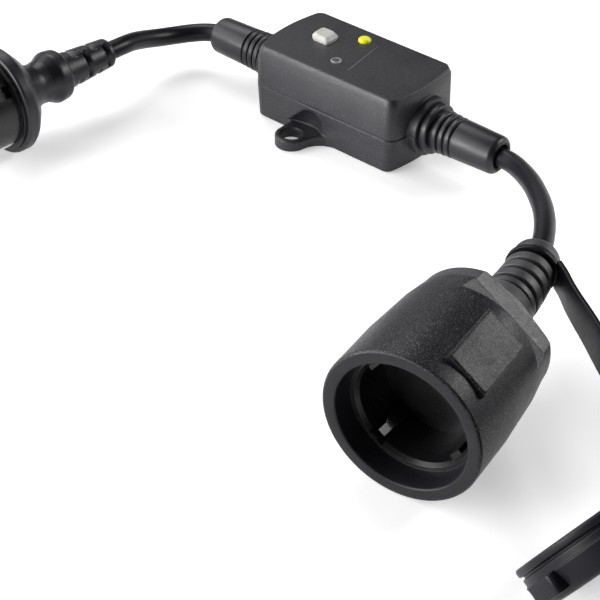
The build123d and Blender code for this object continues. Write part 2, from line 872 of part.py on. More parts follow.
# Glands and the cable ends inside the case
def gland():
    """Ribbed sleeve with a neck through the wall and an inner flange."""
    steps = [(0, seat_x - gland_flange_t), (gland_flange_r, seat_x - gland_flange_t),
             (gland_flange_r, seat_x), (gland_neck_r, seat_x), (gland_neck_r, collar_x)]
    x = collar_x
    rings = [gland_ring_1, gland_ring_2, gland_ring_3, gland_ring_4]
    grooves = [(gland_wide_core_r, gland_wide_groove)] + 3 * [(gland_thin_core_r, gland_thin_groove)]
    for (radius, length), (core, width) in zip(rings, grooves):
        steps += [(radius, x), (radius, x + length, 0.6), (core, x + length),
                  (core, x + length + width)]
        x += length + width
    steps += [(gland_sleeve_r, x, 0.4), (gland_tip_r, gland_end_x, gland_tip_round),
              (gland_mouth_r, gland_end_x, 0.5), (gland_mouth_r, tail_x), (0, tail_x)]
    body = turned(steps)
    return body - disc(cable_r + fit_gap, 0, gland_end_x + 1)


def core_offsets():
    """Level and upright offsets of the three cores in a jacket."""
    return [(core_spread * cos(radians(a)), core_spread * sin(radians(a))) for a in (90, 210, 330)]


def case_cores(sign, ring_z):
    """Three cores from a jacket: two by way of the ring on the outlet side."""
    cores = []
    for number, (y, rise) in enumerate(core_offsets()):
        z = seam_z - rise
        start = (sign * (tail_end_x + 3), y, z)
        out = (sign * (tail_end_x - core_run), y, z)
        drop_y = (0.0, -core_drop_y, core_drop_y)[number]
        if sign > 0 and number > 0:
            land_x = ring_x - ring_core_w - ring_land
            land_y = ring_y + y * ring_fan
            lift = (ring_x + ring_core_w / 2 + ring_lead, ring_y + y, ring_z)
            beyond = (land_x, land_y, ring_z)
            land = (land_x, land_y, board_top)
            cores.append(wire([start, out, lift, beyond, land], core_bend_r))
        else:
            bend = (sign * core_bend_x, drop_y, z)
            land = (sign * core_bend_x, drop_y, board_top)
            stops = [start, out, bend, land] if drop_y else [start, bend, land]
            cores.append(wire(stops, core_bend_r))
    return cores


def jacket(cores, sign):
    body = gland_axis(disc(cable_r, tail_end_x, tail_x - tail_end_x), sign)
    for core in cores:
        body -= core
    return body


def make_cable_ends(ring_z):
    sleeve = gland()
    for name, sign in (("in", -1), ("out", 1)):
        cores = case_cores(sign, ring_z)
        save("gland_" + name, gland_axis(sleeve, sign))
        save("case_cores_" + name, *cores)
        save("jacket_" + name, jacket(cores, sign))

    bar = block(clamp_x - clamp_width / 2, clamp_x + clamp_width / 2, -clamp_length / 2,
                clamp_length / 2, seam_z, seam_z + cable_r + clamp_t)
    for side in (-1, 1):
        bar -= block(0, gland_end_x, side * clamp_length / 2, side * (cable_r + clamp_t),
                     seam_z + clamp_t, gland_end_x)
    bar -= gland_axis(disc(cable_r, 0, gland_end_x), 1)
    for y in (-clamp_screw_y, clamp_screw_y):
        bar -= Pos(clamp_x, y) * disc(clamp_screw_r + fit_gap, 0, gland_end_x)
    save("clamp_bars", *both_ends(bar))
    low = seam_z + clamp_t - clamp_screw_length
    screw = disc(clamp_screw_r, low, clamp_screw_length)
    screw += disc(clamp_head_r, seam_z + clamp_t, clamp_head_h)
    save("clamp_screws", *[Pos(x, y) * screw for x, y in clamp_places()])


# Plug
def plug_outer():
    """Relief, grip bulge, waist and splash flange."""
    bulge_end = relief_length + bulge_length
    return turned([
        (0, 0), (relief_tip_r, 0, 0.5), (relief_root_r, relief_length),
        (bulge_r - 0.6, relief_length + 0.6, 1.6), (bulge_r, bulge_end - 1.6, 2.0),
        (waist_r + 0.4, bulge_end + 0.6, 1.4), (waist_r, waist_z, 6.0),
        (flare_r, flare_z, 4.0), (flange_back_r, flare_z + 2.4, 1.0),
        (plug_flange_r - 0.9, plug_flange_z, 1.0), (plug_flange_r, plug_flange_z + 1.4, 0.8),
        (plug_flange_r, nose_z, 1.2), (0, nose_z)])


def relief_cuts():
    """Slots in the relief, each row turned a quarter from the last."""
    cuts = []
    for row in range(relief_slots):
        start = relief_first + row * relief_pitch
        cut = ring(relief_root_r + 2, cable_r + relief_sleeve, start, relief_slot)
        cut -= block(-relief_web / 2, relief_web / 2, -bulge_r, bulge_r, start - 1,
                     start + relief_slot + 1)
        cuts.append(Rot(0, 0, 90 * (row % 2)) * cut)
    return cuts


def plug_pins():
    """Round pins with domed ends, each on a thinner shank in the insert."""
    front = nose_z + nose_length
    tip = front + pin_length
    pin = turned([(0, front - pin_root), (pin_shank_r, front - pin_root), (pin_shank_r, front),
                  (pin_r, front), (pin_r, tip, pin_round), (0, tip)])
    return [Pos(0, y, 0) * pin for y in (-pin_spacing / 2, pin_spacing / 2)]


def plug_strips():
    """Sprung earth strips, flush in the sides of the front body."""
    front = nose_z + nose_length
    outer = nose_r
    strip = disc(outer, front - strip_depth, strip_depth)
    strip -= disc(outer - strip_t, front - strip_depth, strip_depth)
    half = strip_width / 2
    strips = [strip & block(0, 2 * outer, -half, half, 0, front),
              strip & block(-2 * outer, 0, -half, half, 0, front)]
    return strips


def plug_cores():
    """Cores from the jacket to the pins' roots, moulded in."""
    pin_back = nose_z + nose_length - pin_root
    cores = []
    for side in (-1, 1):
        y = side * pin_spacing / 2
        near = side * core_spread
        cores.append(wire([(0, near, plug_tail_length - 3), (0, near, plug_tail_length + 1),
                           (0, y, pin_back - 3.5), (0, y, pin_back)], 1.2))
    return cores


def make_plug():
    pins = plug_pins()
    strips = plug_strips()
    cores = plug_cores()
    tail = disc(cable_r, 0, plug_tail_length)
    front = nose_z + nose_length
    insert = disc(plug_neck_r, insert_back, plug_neck_length)
    insert += disc(plug_step_r, nose_z, plug_step_t)
    insert += turned([(0, nose_z), (nose_r, nose_z), (nose_r, front, nose_round), (0, front)])
    for strip in strips:
        insert -= strip
    for side in (-1, 1):
        insert -= block(-notch_width / 2, notch_width / 2, side * (nose_r - notch_depth),
                        side * (nose_r + 2), nose_z + plug_step_t, front + 1)
    body = plug_outer() - disc(plug_neck_r, insert_back, plug_neck_length + 1) - tail
    for cut in relief_cuts():
        body -= cut
    for core in cores:
        body -= core
        tail -= core
        insert -= core
    for pin in pins:
        insert -= pin
        body -= pin
    save("plug_body", plug_place * body)
    save("plug_insert", plug_place * insert)
    save("plug_pins", *[plug_place * pin for pin in pins])
    save("plug_earth_strips", *[plug_place * strip for strip in strips])
    save("plug_cores", *[plug_place * core for core in cores])
    save("plug_jacket", plug_place * tail)


# Coupling
def grip_flats(length):
    """Space outside the two flats."""
    reach = 2 * rim_r
    return [block(flat_x, reach, -reach, reach, flat_start, flat_start + length),
            block(-reach, -flat_x, -reach, reach, flat_start, flat_start + length)]


def coupling_shell():
    """Barrel with a thick rim, a label pad and the flats' start."""
    body = turned([
        (collar_mouth_r, 0, 0.8), (rim_r, 0, rim_round), (rim_r, rim_length), (mid_r, mid_z),
        (hip_r, hip_z), (shell_end_r, shell_length), (chamber_r, shell_length),
        (chamber_r, socket_back), (insert_r, socket_back), (insert_r, collar_depth),
        (collar_root_r, collar_depth)])
    pad = block(insert_r + 2, pad_x, -pad_half, pad_half, pad_start, pad_end)
    pad = fillet(pad.edges().group_by(Axis.X)[-1], pad_corner)
    body += pad
    for flat in grip_flats(shell_length):
        body -= flat
    return body


def clip_slot(side):
    """Way for an earth clip through the insert's wall and floor."""
    half = clip_width / 2 + fit_gap
    return block(side * (clip_tip_r + 1.6), side * (insert_r - 0.5), -half, half,
                 collar_depth - 1, socket_back + 1)


def socket_wall():
    """Contact cup's wall: lip, guide ribs and clip slots."""
    outer = insert_r - fit_gap
    body = turned([
        (socket_r, socket_floor_z), (socket_r, collar_depth + lip_depth), (lip_r, collar_depth),
        (outer, collar_depth), (outer, socket_floor_z)])
    for side in (-1, 1):
        rib = block(-rib_width / 2, rib_width / 2, side * (socket_r - rib_height),
                    side * (socket_r + lip_depth / 2), collar_depth + rib_start, socket_floor_z)
        body += rib
        body -= clip_slot(side)
    return body


def contact_carrier():
    """Disc that closes the cup, with two pin holes and the clip slots."""
    body = disc(insert_r - fit_gap, socket_floor_z, socket_floor)
    for side in (-1, 1):
        body -= Pos(0, side * pin_spacing / 2) * disc(hole_r, socket_floor_z - 1, socket_floor + 2)
        body -= clip_slot(side)
    return body


def earth_clips():
    """Two sprung side contacts joined by a strap behind the floor."""
    root = insert_r - 1.6
    back = socket_back - clip_t / 2
    tip = collar_depth + clip_front
    path = Polyline((root - 0.8, tip - 1.2), (clip_tip_r, tip + 1.6), (root - 0.4, tip + 8.6),
                    (root - 0.4, back), (0, back))
    half = extrude(Rot(90, 0, 0) * trace(path, clip_t), clip_width / 2, both=True)
    return half + mirror(half, Plane.YZ)


def contact_tubes():
    """Turned contacts: flanged mouth, gripping tube and closed end."""
    flange = socket_back + clip_t
    step = socket_back + tube_mouth_depth
    tube = turned([
        (tube_mouth_r, socket_back), (tube_mouth_r + 2 * tube_wall, socket_back),
        (tube_mouth_r + 2 * tube_wall, flange), (tube_mouth_r + tube_wall, flange),
        (tube_mouth_r + tube_wall, step + tube_wall), (tube_grip_r + tube_wall, step + tube_wall),
        (tube_grip_r + tube_wall, tube_end_z), (0, tube_end_z), (0, tube_end_z - tube_end_t),
        (tube_grip_r, tube_end_z - tube_end_t), (tube_grip_r, step), (tube_mouth_r, step)])
    return [Pos(0, y) * tube for y in (-pin_spacing / 2, pin_spacing / 2)]


def coupling_cover():
    """Rear cap with two ridges and a domed neck round the boot."""
    z = shell_length
    neck = boot_start - boot_seat
    groove = z + cover_ridge
    body = turned([
        (chamber_r, z), (cover_r, z, 0.5), (cover_r - 0.3, groove, 0.4),
        (cover_r - cover_groove, groove), (cover_r - cover_groove, groove + cover_groove_w),
        (cover_r - 0.6, groove + cover_groove_w, 0.4),
        (cover_end_r, z + cover_length, cover_end_round),
        (neck_shoulder_r, z + neck_shoulder_z, 3.0), (neck_mid_r, z + neck_mid_z, 3.0),
        (neck_end_r, boot_start, 0.6), (boot_core_r + fit_gap, boot_start),
        (boot_core_r + fit_gap, neck), (boot_flange_r + fit_gap, neck),
        (boot_flange_r + fit_gap, neck - boot_flange_t - 1), (chamber_r, z + cover_length - 4)])
    for flat in grip_flats(3 * shell_length):
        body -= flat
    return body


def arc_rod(radius):
    """Rod along the boot's curved axis."""
    section = Pos(0, 0, boot_start) * Circle(radius)
    return revolve(section, Axis((-boot_radius, 0, boot_start), (0, -1, 0)), boot_bend)


def coupling_boot():
    """Ribbed bend relief, curved towards the box."""
    neck = boot_start - boot_seat
    body = arc_rod(boot_core_r)
    body += disc(boot_core_r, neck, boot_seat)
    body += disc(boot_flange_r, neck - boot_flange_t, boot_flange_t)
    for start, length, radius in boot_rings:
        rib = turned([(0, -length / 2), (radius, -length / 2, 0.7),
                      (radius - 0.2, length / 2, 0.7), (0, length / 2)])
        body += along_boot(start + length / 2) * rib
    tip_length = boot_length - boot_tip_start
    tip = turned([(0, -tip_length), (boot_tip_r, -tip_length, 0.6),
                  (boot_tip_r - 0.5, 0, boot_tip_round), (0, 0)])
    body += along_boot(boot_length) * tip
    body -= arc_rod(cable_r + fit_gap)
    body -= disc(cable_r + fit_gap, coupling_tail_end, boot_start - coupling_tail_end)
    return body


def coupling_cores():
    """Cores from the jacket to the contact tubes and the earth strap."""
    cores = []
    for side in (-1, 1):
        y = side * pin_spacing / 2
        near = side * core_spread
        cores.append(wire([(0, near, coupling_tail_end + 3), (0, near, coupling_tail_end - 1),
                           (0, y, tube_end_z + 5), (0, y, tube_end_z)], 2.0))
    cores.append(wire([(earth_core_out, 0, coupling_tail_end + 3),
                       (earth_core_out, 0, coupling_tail_end - 1), (4.5, 0, socket_back + 12),
                       (4.5, 0, socket_back)], 4.0))
    return cores


def make_coupling():
    place = coupling_place
    cores = coupling_cores()
    clips = earth_clips()
    save("coupling_shell", place * coupling_shell())
    save("socket_insert", place * (socket_wall() - clips))
    save("contact_carrier", place * (contact_carrier() - clips))
    save("earth_clips", place * clips)
    save("socket_contacts", *[place * tube for tube in contact_tubes()])
    save("coupling_cover", place * coupling_cover())
    save("coupling_boot", coupling_level * coupling_boot())
    save("coupling_cores", *[place * core for core in cores])
    tail = coupling_level * (arc_rod(cable_r)
                             + disc(cable_r, coupling_tail_end, boot_start - coupling_tail_end))
    for core in cores:
        tail -= place * core
    save("coupling_jacket", tail)


# Tether and cap
def unit(vector):
    return vector * (1 / vector.length)


strap_dir = unit(Vector(*strap_way))
ring_edge = (ring_place * Pos(tether_ring_r, 0, 0)).position
strap_hinge = ring_edge + strap_dir * strap_reach
cap_hinge = (cap_place * Pos(cap_rim_r + cap_reach, 0, cap_rim_t / 2)).position


def band_plane(point, heading, lean):
    """Section plane of the strap, its X across the band's height."""
    up = Vector(0, 0, 1)
    level = up.cross(heading)
    across = up * cos(radians(lean)) + unit(level) * sin(radians(lean))
    return Plane(origin=point, x_dir=across, z_dir=heading)


def tether_ring():
    """Ring that turns in the boot's groove, with the strap's root."""
    bore = boot_core_r + ring_gap
    eye = ring_place * ring(tether_ring_r, bore, -tether_ring_t / 2, tether_ring_t)
    knuckle = strap_t / 2 + hinge_gap
    start = ring_edge - strap_dir * 0.8
    plane = band_plane(start, strap_dir, strap_first_lean)
    root = extrude(plane * Rectangle(strap_height, strap_t), 0.8 + strap_reach - knuckle)
    return eye + root


def strap_stations():
    """Centres of the strap: chosen points, then the fold beside the cap."""
    inward = Vector(*cap_way)
    level = unit(Vector(inward.X, inward.Y, 0))
    fold_end = cap_hinge
    centre = fold_end - level * fold_r
    last = Vector(*strap_points[-1])
    way_in = unit(Vector(fold_end.X - last.X, fold_end.Y - last.Y, 0))
    turn_out = Vector(-way_in.Y, way_in.X, 0)
    middle = centre + unit(level + turn_out) * fold_r
    return [strap_hinge] + [Vector(*point) for point in strap_points] + [middle, fold_end]


def tether_strap():
    """Flat band, leaning more towards the cap, with rounded hinge ends."""
    stations = strap_stations()
    end_way = Vector(*cap_level) * -1
    path = Spline(*stations, tangents=(strap_dir, end_way))
    sections = []
    for step in range(strap_steps + 1):
        part = step / strap_steps
        lean = strap_first_lean + (cap_lean - strap_first_lean) * part
        plane = band_plane(path @ part, path % part, lean)
        sections.append(plane * Rectangle(strap_height, strap_t))
    band = loft(sections)
    for point, heading, lean in ((stations[0], strap_dir, strap_first_lean),
                                 (stations[-1], end_way, cap_lean)):
        plane = band_plane(point, heading, lean)
        band += plane.location * Rot(0, 90, 0) * Cylinder(strap_t / 2, strap_height)
    return band


def protective_cap():
    """Cup with a rim, a band, an inner spigot and a finger tab."""
    band = cap_rim_t + cap_groove_t
    end = cap_length - cap_end_wall
    spigot_r = collar_mouth_r - spigot_gap
    body = turned([
        (cap_bore_r, 0), (cap_rim_r, 0, 0.9), (cap_rim_r, cap_rim_t, 0.7),
        (cap_groove_r, cap_rim_t), (cap_groove_r, band), (cap_band_r, band),
        (cap_band_r, band + cap_band_t), (cap_body_r, band + cap_band_t, 0.3),
        (cap_end_r, cap_length, cap_end_round), (0, cap_length), (0, end), (cap_bore_r, end, 1.0)])
    body += ring(spigot_r, spigot_r - spigot_t, spigot_start, end - spigot_start)
    half = tab_width / 2
    tab = block(-cap_body_r - tab_out, -cap_end_r + 1.5, -half, half,
                band + cap_band_t, band + cap_band_t + tab_length)
    tab = fillet(tab.edges().filter_by(Axis.Z).sort_by(Axis.X)[:2], 1.6)
    body += tab
    knuckle = strap_t / 2 + hinge_gap
    middle = cap_rim_t / 2
    body += block(cap_rim_r - 1, cap_rim_r + cap_reach - knuckle, -strap_height / 2,
                  strap_height / 2, middle - strap_t / 2, middle + strap_t / 2)
    return cap_place * body


def make_tether():
    save("tether_ring", tether_ring())
    save("tether_strap", tether_strap())
    save("protective_cap", protective_cap())
    for name, point in (("ring centre", ring_place.position), ("strap hinge", strap_hinge),
                        ("cap hinge", cap_hinge), ("boot end", boot_end.position)):
        print(name, [round(value, 2) for value in point])


def make_cords():
    plug_out = Vector(*plug_way) * -1
    boot_out = (boot_end * Pos(0, 0, 1)).position - boot_end.position
    plug_face = Vector(*plug_origin)
    boot_face = boot_end.position
    supply = [plug_face, plug_face + plug_out * plug_run, *supply_points,
              (-tail_x - gland_run, 0, seam_z), (-tail_x, 0, seam_z)]
    outlet = [(tail_x, 0, seam_z), (tail_x + gland_run, 0, seam_z), *outlet_points,
              boot_face + boot_out * boot_run, boot_face]
    save("supply_cord", free_cord("supply_cord", supply))
    save("outlet_cord", free_cord("outlet_cord", outlet))


make_case()
make_buttons()
make_board()
make_trip()
make_contacts()
make_cable_ends(make_transformer())
make_plug()
make_coupling()
make_tether()
make_cords()
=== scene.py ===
import json
from math import atan2, ceil, cos, pi, radians, sin, tan

import bmesh
import bpy
import numpy as np
from mathutils import Matrix, Vector


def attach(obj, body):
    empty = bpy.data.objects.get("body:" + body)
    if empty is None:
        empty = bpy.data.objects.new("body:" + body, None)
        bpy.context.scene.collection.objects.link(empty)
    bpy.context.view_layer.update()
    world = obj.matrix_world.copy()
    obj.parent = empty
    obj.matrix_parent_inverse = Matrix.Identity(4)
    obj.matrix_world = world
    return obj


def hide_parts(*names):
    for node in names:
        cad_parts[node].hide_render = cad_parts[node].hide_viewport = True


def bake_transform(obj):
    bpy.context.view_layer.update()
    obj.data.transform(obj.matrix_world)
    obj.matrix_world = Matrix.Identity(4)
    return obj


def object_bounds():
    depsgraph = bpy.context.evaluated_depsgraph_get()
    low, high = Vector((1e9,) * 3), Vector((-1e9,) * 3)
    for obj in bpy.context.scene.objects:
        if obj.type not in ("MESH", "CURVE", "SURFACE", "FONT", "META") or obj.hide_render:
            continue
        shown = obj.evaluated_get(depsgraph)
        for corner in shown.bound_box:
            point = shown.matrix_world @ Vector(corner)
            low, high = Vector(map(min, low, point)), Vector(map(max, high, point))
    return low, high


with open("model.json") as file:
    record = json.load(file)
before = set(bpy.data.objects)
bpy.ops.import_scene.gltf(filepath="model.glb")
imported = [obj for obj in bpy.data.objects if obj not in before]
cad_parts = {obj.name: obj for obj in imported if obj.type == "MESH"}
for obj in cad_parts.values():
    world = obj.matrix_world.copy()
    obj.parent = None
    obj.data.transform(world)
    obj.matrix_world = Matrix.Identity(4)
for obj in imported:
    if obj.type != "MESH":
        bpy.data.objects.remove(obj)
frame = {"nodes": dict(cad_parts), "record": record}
cad_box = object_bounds()
MM = 0.001


# Places, as in the part's source (millimetres, and metres where a value says MM)
def axis_frame(origin, way, side):
    """Matrix with Z along way, X along side and its zero at origin."""
    z = Vector(way).normalized()
    x = Vector(side)
    x = (x - z * x.dot(z)).normalized()
    turn = Matrix((x, z.cross(x), z)).transposed().to_4x4()
    return Matrix.Translation(Vector(origin)) @ turn


def turn_z(degrees):
    """Turn about Z."""
    return Matrix.Rotation(radians(degrees), 4, "Z")


CABLE_R = 4.0
BORE_R = 4.05
SEAM_Z = 16.0
TAIL_X = 69.4
GLAND_END_X = 75.4
CASE_HEIGHT = 33.6
PLUG_TURN = radians(4.0)
PLUG_PLACE = axis_frame((-91.5, -52.8, 22.5), (-sin(PLUG_TURN), -cos(PLUG_TURN), 0),
                        (cos(PLUG_TURN), -sin(PLUG_TURN), 0)) @ turn_z(-50)
COUPLING_TURN = radians(8.27)
COUPLING_LEVEL = axis_frame((149.3, -164.7, 28.0),
                            (-sin(COUPLING_TURN), cos(COUPLING_TURN), 0),
                            (cos(COUPLING_TURN), sin(COUPLING_TURN), 0))
COUPLING_PLACE = COUPLING_LEVEL @ turn_z(-54)
COUPLING_AXIS = COUPLING_LEVEL.to_3x3().col[2].copy()
COUPLING_MOUTH = COUPLING_LEVEL.translation * MM
CAP_TURN = radians(9.0)
CAP_LEAN = radians(29.0)
CAP_LEVEL = Vector((sin(CAP_TURN), cos(CAP_TURN), 0))
CAP_WAY = Vector((cos(CAP_LEAN) * cos(CAP_TURN), -cos(CAP_LEAN) * sin(CAP_TURN), -sin(CAP_LEAN)))
CAP_PLACE = axis_frame((216.5, -156.9, 31.9), CAP_WAY, CAP_LEVEL)
BOOT_START = 77.0
BOOT_LENGTH = 28.0
BOOT_BEND = radians(11.0)
BOOT_RADIUS = BOOT_LENGTH / BOOT_BEND
TETHER_START = 20.2
TETHER_RING_R = 9.7
STRAP_HEIGHT = 12.0
STRAP_T = 1.8
STRAP_ROUNDING = 0.55
STRAP_WAY = Vector((0.82, -0.57, 0.0)).normalized()
STRAP_REACH = 2.0
STRAP_POINTS = [(152.0, -73.2, 28.2), (166.0, -83.8, 28.5), (182.0, -96.2, 29.0),
                (200.0, -109.2, 30.2), (213.0, -117.3, 31.4)]
FOLD_R = 5.0
CAP_RIM_R = 31.0
CAP_RIM_T = 2.6
CAP_REACH = 2.5

SUPPLY_ROUTE = [(-69.4, 0, 16.0), (-75.8, 0, 16.0), (-82.3, -2.4, 15.2), (-87.7, -7.1, 14.5),
                (-91.4, -13.7, 14.6), (-93.3, -21.5, 15.9), (-93.6, -29.9, 18.4),
                (-92.5, -38.2, 21.0), (-91.04, -46.22, 22.5), (-91.5, -52.8, 22.5)]
OUTLET_ROUTE = [(69.4, 0, 16.0), (75.8, 0, 16.0), (81.9, -1.8, 16.8), (89.4, -6.3, 18.2),
                (98.0, -13.0, 20.1), (106.5, -21.6, 22.3), (114.9, -31.3, 24.5),
                (122.4, -42.2, 26.6), (129.26, -54.74, 28.0), (131.57, -61.35, 28.0)]


def along_boot(distance):
    """Place on the boot's curved axis."""
    turn = distance / BOOT_RADIUS
    shift = Matrix.Translation((-BOOT_RADIUS * (1 - cos(turn)), 0,
                                BOOT_START + BOOT_RADIUS * sin(turn)))
    return COUPLING_LEVEL @ shift @ Matrix.Rotation(-turn, 4, "Y")


# Objects
def put_in_scene(name, data):
    """New object that shows data, in the scene's collection."""
    made = bpy.data.objects.new(name, data)
    bpy.context.scene.collection.objects.link(made)
    return made


# Camera and light
def make_camera():
    """Camera fitted to the photo's edges, with its place in millimetres."""
    yaw, pitch, roll = radians(-39.21), radians(37.77), radians(1.57)
    place = Vector((354.8, -466.3, 358.3))
    forward = Vector((sin(yaw) * cos(pitch), cos(yaw) * cos(pitch), -sin(pitch)))
    right = Vector((cos(yaw), -sin(yaw), 0))
    up = right.cross(forward)
    across = right * cos(roll) + up * sin(roll)
    upright = up * cos(roll) - right * sin(roll)
    camera = put_in_scene("camera", bpy.data.cameras.new("camera"))
    turn = Matrix((across, upright, -forward)).transposed().to_4x4()
    camera.matrix_world = Matrix.Translation(place * MM) @ turn
    camera.data.sensor_width = 36
    camera.data.lens = 96
    camera.data.clip_start = 0.01
    camera.data.clip_end = 50
    bpy.context.scene.camera = camera


def lamp(name, place, target, size, power):
    """Soft rectangular lamp that looks at target, in metres and watts."""
    light = bpy.data.lights.new(name, "AREA")
    light.shape = "RECTANGLE"
    light.size, light.size_y = size
    light.energy = power
    body = put_in_scene(name, light)
    body.location = place
    aim = Vector(target) - Vector(place)
    body.rotation_euler = aim.to_track_quat("-Z", "Y").to_euler()


def make_lamps():
    """Wide key from the left, a low strip in front, and weak ones above and behind."""
    lamp("key", place=(-1.35, -1.1, 0.85), target=(0.05, -0.08, 0.02), size=(2.2, 1.7), power=43)
    lamp("front", place=(-0.62, -1.5, 0.3), target=(0.02, -0.05, 0.02), size=(1.2, 0.35),
         power=25)
    lamp("top", place=(-0.95, 0.5, 1.3), target=(0.05, -0.08, 0.0), size=(0.9, 0.7), power=11)
    lamp("back", place=(0.78, 0.98, 0.74), target=(0.15, -0.14, 0.03), size=(0.6, 0.45), power=11)


def make_world():
    """White to the camera; reflections see it white at the horizon and dark overhead.

    Every other ray sees only a faint even light.
    """
    horizon, overhead, faint = 1.0, 0.015, 0.03
    fade_start, fade_end = 0.03, 0.15
    world = bpy.data.worlds.new("surroundings")
    bpy.context.scene.world = world
    world.use_nodes = True
    tree = world.node_tree
    way = tree.nodes.new("ShaderNodeTexCoord").outputs["Generated"]
    height = add(tree, "ShaderNodeSeparateXYZ", Vector=way).outputs["Z"]
    mirrored = number_math(tree, "MULTIPLY", ray_is(tree, "Is Glossy Ray", "Is Transmission Ray"),
                           spread(tree, height, horizon, overhead, fade_start, fade_end))
    seen = number_math(tree, "MAXIMUM", ray_is(tree, "Is Camera Ray"), mirrored)
    background = tree.nodes["Background"]
    background.inputs["Color"].default_value = (1, 1, 1, 1)
    tree.links.new(number_math(tree, "MAXIMUM", seen, faint), background.inputs["Strength"])


# Materials
def socket_set(tree, target, value):
    """Link value if it is a socket, else set it as a constant."""
    if isinstance(value, bpy.types.NodeSocket):
        tree.links.new(value, target)
    else:
        target.default_value = value


def add(tree, kind, **inputs):
    """New node with its inputs set or linked by name."""
    made = tree.nodes.new(kind)
    for name, value in inputs.items():
        socket_set(tree, made.inputs[name.replace("_", " ")], value)
    return made


def number_math(tree, operation, first, second):
    """Result of a Math node on two numbers or sockets."""
    made = tree.nodes.new("ShaderNodeMath")
    made.operation = operation
    socket_set(tree, made.inputs[0], first)
    socket_set(tree, made.inputs[1], second)
    return made.outputs[0]


def vector_math(tree, operation, first, second=None):
    """Result of a Vector Math node, which is a number for a dot product or a length."""
    made = tree.nodes.new("ShaderNodeVectorMath")
    made.operation = operation
    socket_set(tree, made.inputs[0], first)
    if second is not None:
        socket_set(tree, made.inputs[1], second)
    return made.outputs["Value" if operation in ("DOT_PRODUCT", "LENGTH") else "Vector"]


def ray_is(tree, *kinds):
    """1 for a ray of any of these Light Path kinds, else 0."""
    path = tree.nodes.new("ShaderNodeLightPath")
    share = path.outputs[kinds[0]]
    for kind in kinds[1:]:
        share = number_math(tree, "MAXIMUM", share, path.outputs[kind])
    return share


def opened(material):
    """A material's node tree, its main shader and its object coordinates."""
    tree = material.node_tree
    where = tree.nodes.new("ShaderNodeTexCoord").outputs["Object"]
    return tree, tree.nodes["Principled BSDF"], where


def lay_over(tree, shader, share, colour):
    """Blend colour over the base colour that the shader already has."""
    base = shader.inputs["Base Color"].links[0].from_socket
    tree.links.new(colours(tree, share, base, colour), shader.inputs["Base Color"])


def blotches(tree, place, size_mm, detail=3.0, rough=0.55):
    """Noise whose features are about size_mm across."""
    made = add(tree, "ShaderNodeTexNoise", Vector=place, Scale=1 / (size_mm * MM),
               Detail=detail, Roughness=rough)
    return made.outputs["Fac"]


def spread(tree, value, low, high, start=0.3, end=0.7):
    """Map start to end, the middle range of a noise if not given, onto low to high."""
    made = add(tree, "ShaderNodeMapRange", Value=value)
    made.inputs["From Min"].default_value = start
    made.inputs["From Max"].default_value = end
    made.inputs["To Min"].default_value = low
    made.inputs["To Max"].default_value = high
    return made.outputs[0]


def colours(tree, share, first, second):
    """Blend of two colours, each an RGB triple or a socket."""
    share_at, first_at, second_at, result_at = 0, 6, 7, 2
    made = tree.nodes.new("ShaderNodeMix")
    made.data_type = "RGBA"
    socket_set(tree, made.inputs[share_at], share)
    for place, colour in ((first_at, first), (second_at, second)):
        socket_set(tree, made.inputs[place], (*colour, 1) if isinstance(colour, tuple) else colour)
    return made.outputs[result_at]


def edges(tree, radius_mm):
    """Normal with softened edges, and the share of each spot that is an edge."""
    soft = add(tree, "ShaderNodeBevel", Radius=radius_mm * MM)
    soft.samples = 6
    plain = tree.nodes.new("ShaderNodeNewGeometry").outputs["Normal"]
    same = vector_math(tree, "DOT_PRODUCT", soft.outputs[0], plain)
    return soft.outputs[0], spread(tree, same, 1.0, 0.0, start=0.75, end=0.99)


def facing_out(tree, where):
    """Share of a coupling surface that looks away from the coupling's axis."""
    offset = vector_math(tree, "SUBTRACT", where, COUPLING_MOUTH)
    along = vector_math(tree, "PROJECT", offset, COUPLING_AXIS)
    across = vector_math(tree, "SUBTRACT", offset, along)
    unit = vector_math(tree, "NORMALIZE", across)
    plain = tree.nodes.new("ShaderNodeNewGeometry").outputs["Normal"]
    facing = vector_math(tree, "DOT_PRODUCT", unit, plain)
    return spread(tree, facing, 0.0, 1.0, start=0.2, end=0.5)


